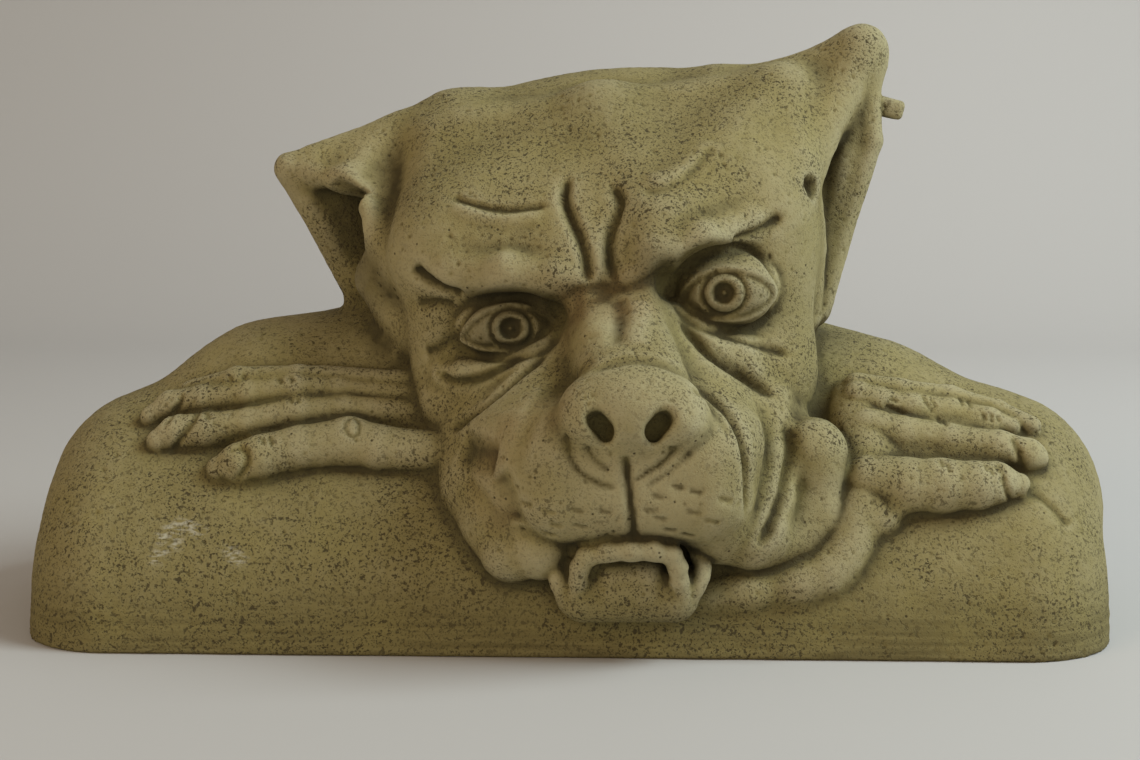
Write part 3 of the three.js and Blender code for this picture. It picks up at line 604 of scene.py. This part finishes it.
# nails, knuckle wrinkles, a ring-shaped mark on the low hand, and the crease beside the raised one
for nail in ([(-131.3, 77.8), (-127.7, 74.2), (-127.8, 68.9), (-132, 63.1)],
             [(-146.7, 90.8), (-150.9, 85), (-154.7, 79.3), (-157.7, 74.4)],
             [(-153.3, 98), (-154.7, 93.1), (-157.2, 89.5), (-161, 85.8)],
             [(171.8, 72.5), (173.9, 68.4), (174.5, 63.2), (177.8, 56.3)],
             [(177.4, 82.9), (179.1, 78.1), (180.9, 72.5), (181.4, 67.7)]):
    score(nail, 0.9, 1.7, blend=0.8, ends=(0.4, 0.4))
for wrinkle in ([(-121.5, 81.2), (-120.4, 77.5)], [(-118.7, 81.6), (-117.1, 77.1)],
                [(-109.9, 97.4), (-108.7, 94.2)], [(-107, 97.4), (-106.3, 94.2)],
                [(-114.5, 105.1), (-113, 102.3)], [(-109.7, 105.9), (-108.5, 102.7)],
                [(-134.2, 105.4), (-132.7, 103)], [(-128.6, 106.2), (-127.4, 103.4)],
                [(-143.8, 91.2), (-142.7, 87.9)], [(-135.4, 74.6), (-130.5, 76.6), (-126.5, 74.6)],
                [(166.3, 72), (168, 68)], [(168.3, 71.6), (170.4, 66.4)],
                [(170.7, 71.6), (172.3, 68)], [(148.9, 73.9), (150.2, 69.9)],
                [(151.3, 72.7), (153.4, 67.5)], [(147.3, 90.8), (149, 87.6)],
                [(149.7, 89.6), (151.3, 86.8)], [(141.2, 99.1), (143.6, 95.6), (146.1, 92)],
                [(144.4, 98), (147.2, 93.6)], [(165.3, 92.5), (166.6, 88.5)],
                [(168.1, 92.5), (169.4, 88.1)], [(170.8, 91.7), (172.1, 88.1)],
                [(156.1, 98.4), (157.4, 94.8)], [(159.3, 97.6), (160.6, 94)],
                [(126.3, 95.5), (130.3, 93.5), (135.1, 91.5)],
                [(127.9, 97.9), (132.2, 96.3)]):
    score(wrinkle, 0.5, 1.2, blend=0.5)
stroke(ringPath(-84.8, 85, 2.8, 1.35), 1.4, 0.9, "groove", ends=(1, 1))
score([(184, 61.2), (191.2, 57.3), (197.7, 50.8), (201.1, 46)], 1.6, 1.6, blend=3, ends=(0.5, 0))
# lids: outside the almond the dome is lifted, inside it is lowered
almonds = {
    "low": [(-41.2, 121), (-34.3, 129), (-23.2, 133.9), (-11.4, 132.3), (-3, 127.2),
            (-9.4, 120.4), (-20.5, 117.1), (-32.8, 117.1), (-41.2, 121)],
    "raised": [(45.1, 136.1), (50.9, 144.4), (61.8, 148), (74.4, 146.4), (82.7, 139.4),
               (76.2, 131.8), (65.2, 129), (53, 130.6), (45.1, 136.1)],
}
for almond in almonds.values():
    stroke(almond, 6.0, 1.3, "ledge", ends=(1, 1), lip=0.9)
for at, size in (((-21.3, 125.1), 8.6), ((62.7, 139.3), 9.0)):
    stroke(ringPath(*at, size), 1.6, 1.5, "groove", ends=(1, 1))
    pit(*at, 5.2, 4.0, peg=1.8)
# soft hollows and swellings
stroke([(9.2, 106.9), (18.7, 111.3), (29.8, 113), (40.9, 110.6), (50.5, 104.7)], 5, 1.4)
stroke([(-42.7, 77.2), (-34.7, 74.4), (-26.3, 70.4)], 10, 3.6)
stroke([(20.6, 138.8), (21.9, 129.3), (19.5, 116.5)], 5, 1.4)
stroke([(29.7, 138), (30.1, 127.7), (28.2, 116.6)], 7, 1.3, "roll")
stroke([(10.8, 137.1), (11.6, 129.2), (10, 120.5)], 9, 1.2, "roll")
stroke([(-27.9, 67.9), (-22.8, 56.5), (-18.8, 45.1)], 9, 2.0)
stroke([(-44.3, 174.8), (-36.4, 171.3), (-25.4, 169), (-15.6, 169.4), (-6.9, 171.3)], 6, 1.2,
       "roll")
stroke([(14, 111.7), (2.9, 105.2), (-7.9, 97.2), (-15.5, 84.2), (-20.3, 63.9)], 7, 1.2, "groove")
stroke([(49.7, 102.3), (55.7, 97.5), (62.5, 88.7), (67.3, 80.7)], 4, 1.2, "groove")
stroke([(29.5, 181.9), (41.9, 184.3), (50.9, 190.5), (58.1, 200.6)], 8, 1.4, "roll")
# whisker pits
for at in [(-15.6, 54.1), (-6.7, 50.9), (-3.5, 45.2), (4.9, 51.4), (16.1, 51.1), (6.1, 44.9),
           (-5.9, 41.5), (37.3, 57.4), (45.3, 61.5), (52.5, 59.5), (38.2, 48.4), (51.7, 51),
           (59, 47.3), (42.2, 43.5), (49.4, 41.5), (34.1, 51.6), (64.4, 56.3)]:
    stroke([(at[0] - 2, at[1] + 0.6), at, (at[0] + 2, at[1] - 0.3)], 1.8, 0.8, ends=(0.7, 0.7))
setPoints(skin, skinPoints)
print("carved")

# the cast surface: uneven skin, sand-grain pits, worn and dirty places, and painted shade where
# forms close in

surface = {
    "swell": 0.5,          # mm of slow unevenness
    "grain": 0.16,         # mm of fine unevenness
    "pits": 3600,
    "pitRadius": (0.5, 1.1),
    "pitDepth": 0.8,
    "streakTop": 20.0,     # brush streaks up to this height
    "streakDepth": 0.35,
    "seed": 7,
    "shadeGaps": ((5, 0.3), (12, 0.35), (26, 0.35)),  # mm out from the skin, and weight
}
patinaAndShade = {
    "settled": 0.42,       # darkening of surfaces that face up
    "lowFront": 1.1,       # painted shade: darkening of the arms towards the ground, strongest on the left
    "rubbed": 0.85,        # how far the muzzle and nose are worn pale
    "fineDirt": (0.35, 0.5),    # mm of hollow for the full effect, and that effect
    "broadDirt": (1.6, 0.7),
    "paintedShade": (0.15, 0.9),   # painted shade: closed-in share that paints none, and the darkening beyond it
    "fineWear": (0.25, 0.4),    # mm of height for the full effect, and that effect
    "broadWear": (1.4, 0.85),
    "rustAmount": 0.6,
    "rubbedSpots": (((27, -105, 76), 42), ((27, -122, 100), 26), ((98, -70, 58), 26),
                    ((20, -85, 125), 20)),
}
random.seed(surface["seed"])
skinNormals = meshNormals(skin)


def noiseAt(points, scale, stretch=(1, 1, 1)):
    sx, sy, sz = [scale * v for v in stretch]
    return np.array([noise.noise(Vector((x * sx, y * sy, z * sz))) for x, y, z in points.tolist()])


rough = surface["swell"] * noiseAt(skinPoints, 1 / 22)
rough = rough + surface["grain"] * noiseAt(skinPoints, 1 / 3.2)
low = np.clip(1 - skinPoints[:, 2] / surface["streakTop"], 0, 1)
rough += surface["streakDepth"] * low * noiseAt(skinPoints, 1 / 2.4, (0.06, 0.06, 1))
above = skinPoints[:, 2] > 0.5
skinPoints += skinNormals * (rough * above)[:, None]
finder = KDTree(len(skinPoints))
for i, p in enumerate(skinPoints.tolist()):
    finder.insert(p, i)
finder.balance()
for _ in range(surface["pits"]):
    seed = random.randrange(len(skinPoints))
    radius = random.uniform(*surface["pitRadius"])
    depth = surface["pitDepth"] * radius * random.uniform(0.4, 1)
    if not above[seed]:
        continue
    for _, i, gap in finder.find_range(Vector(skinPoints[seed]), radius * 1.3):
        skinPoints[i] -= skinNormals[i] * depth * max(1 - (gap / radius / 1.3) ** 2, 0) ** 2
setPoints(skin, skinPoints)
skinNormals = meshNormals(skin)
print("surface")


# grows to the effect's strength as the values reach its depth
def partOf(values, effect):
    return np.clip(values / effect[0], 0, 1) * effect[1]


# how far each point lies below the smoothed skin, in mm
def hollowness(rounds):
    p = skinPoints.copy()
    for _ in range(rounds):
        p = evened(skin, p, 0.9)
    return ((p - skinPoints) * skinNormals).sum(1)


fine, broad = hollowness(4), hollowness(40)
# painted shade: points closed in by nearby forms are darkened, and this goes into the grime beside
# the patina of the hollows
shade = np.zeros(len(skinPoints))
for gap, weight in surface["shadeGaps"]:
    seen = distance(groups, skinPoints + skinNormals * gap, margin=gap + 4)
    shade += weight * np.clip(1 - seen / gap, 0, 1)
lightest, strength = patinaAndShade["paintedShade"]
grimeAndShade = partOf(fine, patinaAndShade["fineDirt"]) + partOf(broad, patinaAndShade["broadDirt"])
grimeAndShade += np.clip(shade - lightest, 0, 1) * strength
wear = partOf(-fine, patinaAndShade["fineWear"]) + partOf(-broad, patinaAndShade["broadWear"])


# how near each point is to the nearest of some drawn lines, from 0 to 1
def nearLines(lines, width):
    out = np.zeros(len(skinPoints))
    for points in lines:
        near, gap, _, _, _ = closeTo(laidPath(points, laying["lineSteps"]), width)
        out[near] = np.maximum(out[near], np.maximum(1 - (gap / width) ** 2, 0))
    return out


scuffs = nearLines([[(-167.1, 30.3), (-160.5, 34.5), (-156.7, 38.3)],
                [(-164, 38.2), (-159, 43.6), (-152.8, 44.9), (-147.6, 40.8)],
                [(-136.4, 34.7), (-131.2, 29.4)]], 3.2)
agedAndShaded = np.clip(skinNormals[:, 2], 0, 1) * patinaAndShade["settled"]
aside = np.clip((np.abs(skinPoints[:, 0] - 25) - 45) / 30, 0, 1)
# painted shade: the arms are darkened towards the ground and more on the left, away from the light
lowFront = np.clip((95 - skinPoints[:, 2]) / 75, 0, 1)
lowFront = lowFront * np.clip(0.6 - skinPoints[:, 0] / 400, 0.15, 1)
agedAndShaded += patinaAndShade["lowFront"] * lowFront * np.maximum(aside, skinPoints[:, 2] < 32)
rubbed = np.zeros(len(skinPoints))
for centre, radius in patinaAndShade["rubbedSpots"]:
    far = ((skinPoints - np.array(centre)) ** 2).sum(1) / radius ** 2
    rubbed = np.maximum(rubbed, np.clip(1 - far, 0, 1))
wear = np.maximum(wear, patinaAndShade["rubbed"] * rubbed)
# painted shade added to the grime, partly also patina: the eye sockets, the corners under the
# brows, the fold beside the left jowl and the drooped ear's hollow
for width, amount, lines in (
        (16, 0.5, [[(-32.8, 124.3), (-9.8, 125.6)]]), (17, 0.25, [[(52.5, 138.1), (72.9, 139.7)]]),
        (12, 0.5, [[(35.9, 151.4), (39.1, 139.6)], [(-1.9, 137.1), (3.3, 126.4)]]),
        (9, 0.25, [[(-39.5, 76), (-28.3, 71.6)]]),
        (18, 0.55, [[(-86.5, 173.6), (-81.7, 155.9), (-77.1, 142)]])):
    grimeAndShade += amount * nearLines(lines, width)
rust = nearLines([[(-1.9, 96.4), (-17.8, 88.2), (-30.7, 74), (-29.2, 53.6)],
              [(8.4, 136.3), (4.5, 124.4)], [(13.9, 136.4), (29.7, 137.2)]], 15)
rust = rust * patinaAndShade["rustAmount"]
# grime holds patina in hollows and painted shade where forms close in; aged holds settled dirt on
# upward faces and painted shade low on the arms
for name, values in (("grimeAndShade", np.clip(grimeAndShade, 0, 1)), ("wear", np.clip(wear, 0, 1)),
                     ("scuff", scuffs), ("rust", rust), ("agedAndShaded", np.clip(agedAndShaded, 0, 1)),
                     ("rubbed", rubbed)):
    skin.attributes.new(name, "FLOAT", "POINT").data.foreach_set("value", values.astype(np.float32))

# finish: metres, frame axes

skin = applied(gargoyle, "DECIMATE",
               ratio=min(1.0, casting["triangles"] / (2 * len(skin.polygons))))
final = meshPoints(skin)
final[:, 2] = np.maximum(final[:, 2], 0)
setPoints(skin, (final + shift) / 1000)
skin.polygons.foreach_set("use_smooth", [True] * len(skin.polygons))
skin.calc_loop_triangles()
print("stone", len(skin.loop_triangles), "triangles", [a.name for a in skin.attributes])

# cast stone

stoneLook = {
    "light": (0.335, 0.281, 0.130),
    "dark": (0.20, 0.162, 0.060),
    "pit": (0.055, 0.042, 0.018),
    "grimeAndShade": (0.07, 0.054, 0.020),
    "crevice": (0.026, 0.021, 0.009),
    "worn": (0.41, 0.36, 0.215),
    "lichen": (0.30, 0.25, 0.085),
    "rust": (0.26, 0.165, 0.070),
    "scuff": (0.46, 0.43, 0.33),
    "mottleRange": (0.35, 0.68),
    "mottle": 16.0,         # this and the scales below are per metre
    "speckPatches": 30,
    "lichenPatches": 34,
    "rustPatches": 60,
    "brokenDirtAndShade": 90,
    "pinholePatches": 120,
    "pinholes": 300.0,
    "fineGrain": 380,
    "finestGrain": 1500,
    "speckle": 620.0,
    "roughness": 0.92,
    "shine": 0.25,
    "agedAndShadedAmount": 0.75,
    "wornAmount": 0.75,
    "creviceAmount": 0.75,
    "footAmount": 0.85,
    "streakAmount": 0.6,
    "lichenAmount": 0.3,
    "scuffAmount": 0.8,
    "rubbedClear": 0.75,    # how far rubbing clears the specks
    "allOver": 0.22,        # specks everywhere
    "inPatches": 0.7,       # more of them in patches
    "onAgedAndShaded": 0.5,          # and on dirty, upward surfaces and where the arms are painted with shade low down
    "speckStrength": 0.92,
    "lowBand": (0.030, 0.012),  # metres, from the top of the darker foot to full strength
    "bump": 0.55,
    "bumpDistance": 0.0006,
}
stone = bpy.data.materials.new("castStone")
stone.use_nodes = True
tree = stone.node_tree
shader = tree.nodes["Principled BSDF"]
shader.inputs["Roughness"].default_value = stoneLook["roughness"]
shader.inputs["Specular IOR Level"].default_value = stoneLook["shine"]


def node(kind, **settings):
    made = tree.nodes.new(kind)
    for key, value in settings.items():
        if key in made.inputs:
            made.inputs[key].default_value = value
        else:
            setattr(made, key, value)
    return made


def noiseNode(scale, detail=3.0, stretch=None, roughness=0.55):
    made = node("ShaderNodeTexNoise", Scale=scale, Detail=detail, Roughness=roughness)
    source = place.outputs["Object"]
    if stretch:
        mapping = node("ShaderNodeMapping", Scale=stretch)
        tree.links.new(source, mapping.inputs["Vector"])
        source = mapping.outputs["Vector"]
    tree.links.new(source, made.inputs["Vector"])
    return made.outputs["Fac"]


def ramp(source, low, high):
    made = node("ShaderNodeMapRange", **{"From Min": low, "From Max": high})
    tree.links.new(source, made.inputs["Value"])
    return made.outputs["Result"]


def mathNode(kind, a, b):
    made = node("ShaderNodeMath", operation=kind)
    for socket, value in zip(made.inputs, (a, b)):
        if isinstance(value, (int, float)):
            socket.default_value = value
        else:
            tree.links.new(value, socket)
    return made.outputs["Value"]


def blendInto(colour, other, amount):
    made = node("ShaderNodeMix", data_type="RGBA")
    tree.links.new(amount, made.inputs[0])
    for socket, value in zip((made.inputs[6], made.inputs[7]), (colour, other)):
        if isinstance(value, tuple):
            socket.default_value = (*value, 1)
        else:
            tree.links.new(value, socket)
    return made.outputs[2]


place = node("ShaderNodeTexCoord")
grimeAndShadeValue = node("ShaderNodeAttribute", attribute_name="grimeAndShade").outputs["Fac"]
wearValue = node("ShaderNodeAttribute", attribute_name="wear").outputs["Fac"]
rustValue = node("ShaderNodeAttribute", attribute_name="rust").outputs["Fac"]
scuffValue = node("ShaderNodeAttribute", attribute_name="scuff").outputs["Fac"]
mottle = ramp(noiseNode(stoneLook["mottle"], 6), *stoneLook["mottleRange"])
colour = blendInto(stoneLook["light"], stoneLook["dark"], mottle)
agedAndShadedValue = node("ShaderNodeAttribute", attribute_name="agedAndShaded").outputs["Fac"]
rubbedValue = node("ShaderNodeAttribute", attribute_name="rubbed").outputs["Fac"]
# the aged attribute darkens settled dirt on upward faces and paints shade low on the arms
darkened = mathNode("MULTIPLY", agedAndShadedValue, stoneLook["agedAndShadedAmount"])
colour = blendInto(colour, stoneLook["dark"], darkened)
paled = mathNode("MULTIPLY", wearValue, stoneLook["wornAmount"])
colour = blendInto(colour, stoneLook["worn"], paled)
# patina and painted shade: the grime attribute, broken up by noise, darkens hollows and places
# where forms close in, and its deepest part goes nearly black
broken = mathNode("MULTIPLY", grimeAndShadeValue, ramp(noiseNode(stoneLook["brokenDirtAndShade"], 5), 0.1, 0.75))
dirtAndShade = mathNode("ADD", mathNode("MULTIPLY", grimeAndShadeValue, 0.7), mathNode("MULTIPLY", broken, 0.6))
dirtAndShade = mathNode("MINIMUM", dirtAndShade, 1.0)
colour = blendInto(colour, stoneLook["grimeAndShade"], dirtAndShade)
deepest = mathNode("MULTIPLY", ramp(grimeAndShadeValue, 0.7, 1.0), stoneLook["creviceAmount"])
colour = blendInto(colour, stoneLook["crevice"], deepest)
height = node("ShaderNodeSeparateXYZ")
tree.links.new(place.outputs["Object"], height.inputs[0])
lowBand = ramp(height.outputs["Z"], *stoneLook["lowBand"])
streaks = ramp(noiseNode(1.0, 4, (14, 14, 420)), 0.35, 0.65)
darkFoot = mathNode("MULTIPLY", lowBand, stoneLook["footAmount"])
colour = blendInto(colour, stoneLook["dark"], darkFoot)
streaked = mathNode("MULTIPLY", streaks, stoneLook["streakAmount"])
streaked = mathNode("MULTIPLY", lowBand, streaked)
colour = blendInto(colour, stoneLook["grimeAndShade"], streaked)
lichen = ramp(noiseNode(stoneLook["lichenPatches"], 4), 0.48, 0.66)
lichen = mathNode("MULTIPLY", lichen, stoneLook["lichenAmount"])
colour = blendInto(colour, stoneLook["lichen"], lichen)
rustPatches = ramp(noiseNode(stoneLook["rustPatches"], 4), 0.3, 0.7)
brown = mathNode("MULTIPLY", rustValue, rustPatches)
colour = blendInto(colour, stoneLook["rust"], brown)
crowd = ramp(noiseNode(stoneLook["speckPatches"], 5), 0.42, 0.60)
coarse = ramp(noiseNode(stoneLook["speckle"], 2, roughness=0.5), 0.575, 0.66)
small = ramp(noiseNode(stoneLook["speckle"] * 2.1, 2, roughness=0.5), 0.57, 0.66)
plain = mathNode("ADD", mathNode("MULTIPLY", agedAndShadedValue, stoneLook["onAgedAndShaded"]), stoneLook["allOver"])
spread = mathNode("ADD", mathNode("MULTIPLY", crowd, stoneLook["inPatches"]), plain)
cleared = mathNode("MULTIPLY", rubbedValue, stoneLook["rubbedClear"])
unrubbed = mathNode("SUBTRACT", 1.0, cleared)
spread = mathNode("MULTIPLY", spread, unrubbed)
specks = mathNode("MAXIMUM", coarse, mathNode("MULTIPLY", small, 0.9))
specks = mathNode("MULTIPLY", specks, mathNode("MINIMUM", spread, 1.0))
holes = node("ShaderNodeTexVoronoi", Scale=stoneLook["pinholes"])
tree.links.new(place.outputs["Object"], holes.inputs["Vector"])
dots = ramp(holes.outputs["Distance"], 0.20, 0.10)
dotPatches = ramp(noiseNode(stoneLook["pinholePatches"], 2), 0.50, 0.58)
dots = mathNode("MULTIPLY", dots, dotPatches)
allSpecks = mathNode("MAXIMUM", specks, dots)
shadedCrowd = mathNode("MULTIPLY", spread, 0.3)
colour = blendInto(colour, stoneLook["dark"], shadedCrowd)
dotted = mathNode("MULTIPLY", allSpecks, stoneLook["speckStrength"])
colour = blendInto(colour, stoneLook["pit"], dotted)
scratches = mathNode("MULTIPLY", scuffValue, ramp(noiseNode(1.0, 3, (260, 260, 900)), 0.45, 0.62))
scratches = mathNode("MULTIPLY", scratches, stoneLook["scuffAmount"])
colour = blendInto(colour, stoneLook["scuff"], scratches)
tree.links.new(colour, shader.inputs["Base Color"])
finest = noiseNode(stoneLook["finestGrain"], 2)
finer = noiseNode(stoneLook["fineGrain"], 3)
grains = mathNode("ADD", mathNode("MULTIPLY", finest, 0.5), mathNode("MULTIPLY", finer, 0.8))
relief = mathNode("SUBTRACT", grains, mathNode("MULTIPLY", allSpecks, 1.2))
bump = node("ShaderNodeBump", Strength=stoneLook["bump"], Distance=stoneLook["bumpDistance"])
tree.links.new(relief, bump.inputs["Height"])
tree.links.new(bump.outputs["Normal"], shader.inputs["Normal"])
skin.materials.clear()
skin.materials.append(stone)
print("material", len(tree.nodes), "nodes")

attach(gargoyle, "root")
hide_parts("gargoyle")

# floor, light and camera

room = {
    "front": -2.2,
    "back": 1.35,
    "curve": 0.45,
    "curveSteps": 12,
    "halfWidth": 2.5,
    "height": 2.6,
    "paint": (0.485, 0.462, 0.438, 1),
    "paintRoughness": 0.8,
    "airColour": (0.98, 0.90, 0.81, 1),
    "airStrength": 0.32,
}
lamps = {
    "windowRight": {"at": (1.3, -0.2, 1.3), "size": 0.9, "watts": 33, "colour": (0.82, 0.95, 1.0)},
    "warmLeft": {"at": (-1.3, -1.3, 1.0), "size": 1.2, "watts": 10, "colour": (1.0, 0.74, 0.45)},
    "wallWash": {"at": (0.35, 0.75, 0.9), "size": 0.8, "watts": 1.5, "colour": (0.92, 0.96, 1.0),
                 "aim": (0.15, 1.35, 0.35)},
    "frontFill": {"at": (0.35, -1.9, 0.35), "size": 1.0, "watts": 5, "colour": (1.0, 0.95, 0.84)},
}
bm = bmesh.new()
profile = [(room["front"], 0.0), (room["back"] - room["curve"], 0.0)]
for i in range(1, room["curveSteps"] + 1):
    turn = math.pi / 2 * i / room["curveSteps"]
    profile.append((room["back"] - room["curve"] + room["curve"] * math.sin(turn),
                    room["curve"] * (1 - math.cos(turn))))
profile.append((room["back"], room["height"]))
edgePoints = [bm.verts.new((-room["halfWidth"], y, z)) for y, z in profile]
for a, b in zip(edgePoints[:-1], edgePoints[1:]):
    bm.edges.new((a, b))
swept = bmesh.ops.extrude_edge_only(bm, edges=bm.edges[:])["geom"]
moved = [v for v in swept if isinstance(v, bmesh.types.BMVert)]
bmesh.ops.translate(bm, vec=(2 * room["halfWidth"], 0, 0), verts=moved)
bmesh.ops.recalc_face_normals(bm, faces=bm.faces[:])
floorMesh = bpy.data.meshes.new("floor")
bm.to_mesh(floorMesh)
bm.free()
floorMesh.polygons.foreach_set("use_smooth", [True] * len(floorMesh.polygons))
floor = bpy.data.objects.new("floor", floorMesh)
bpy.context.scene.collection.objects.link(floor)
floorPaint = bpy.data.materials.new("paleFloor")
floorPaint.use_nodes = True
floorShader = floorPaint.node_tree.nodes["Principled BSDF"]
floorShader.inputs["Base Color"].default_value = room["paint"]
floorShader.inputs["Roughness"].default_value = room["paintRoughness"]
floor.data.materials.append(floorPaint)

scene = bpy.context.scene
world = bpy.data.worlds.new("softRoom")
scene.world = world
world.use_nodes = True
air = world.node_tree.nodes["Background"]
air.inputs["Color"].default_value = room["airColour"]
air.inputs["Strength"].default_value = room["airStrength"]


def areaLight(name, at, size, watts, colour, aim=(0, 0, 0.1)):
    light = bpy.data.lights.new(name, "AREA")
    light.energy = watts
    light.size = size
    light.color = colour
    lamp = bpy.data.objects.new(name, light)
    lamp.location = at
    lamp.rotation_euler = (Vector(aim) - Vector(at)).to_track_quat("-Z", "Y").to_euler()
    scene.collection.objects.link(lamp)


for lampName, lampSettings in lamps.items():
    areaLight(lampName, **lampSettings)

camera = bpy.data.cameras.new("front")
camera.lens = sight["lens"]
camera.sensor_width = 36
camera.clip_start = 0.01
view = bpy.data.objects.new("front", camera)
scene.collection.objects.link(view)
stand = (Vector(sight["eye"]) + Vector(shift)) / 1000
aim = (Vector(sight["aim"]) + Vector(shift)) / 1000
view.location = stand
view.rotation_euler = (aim - stand).to_track_quat("-Z", "Y").to_euler()
scene.camera = view
scene.view_settings.view_transform = "Standard"

print("room,", len(lamps), "lamps and camera")
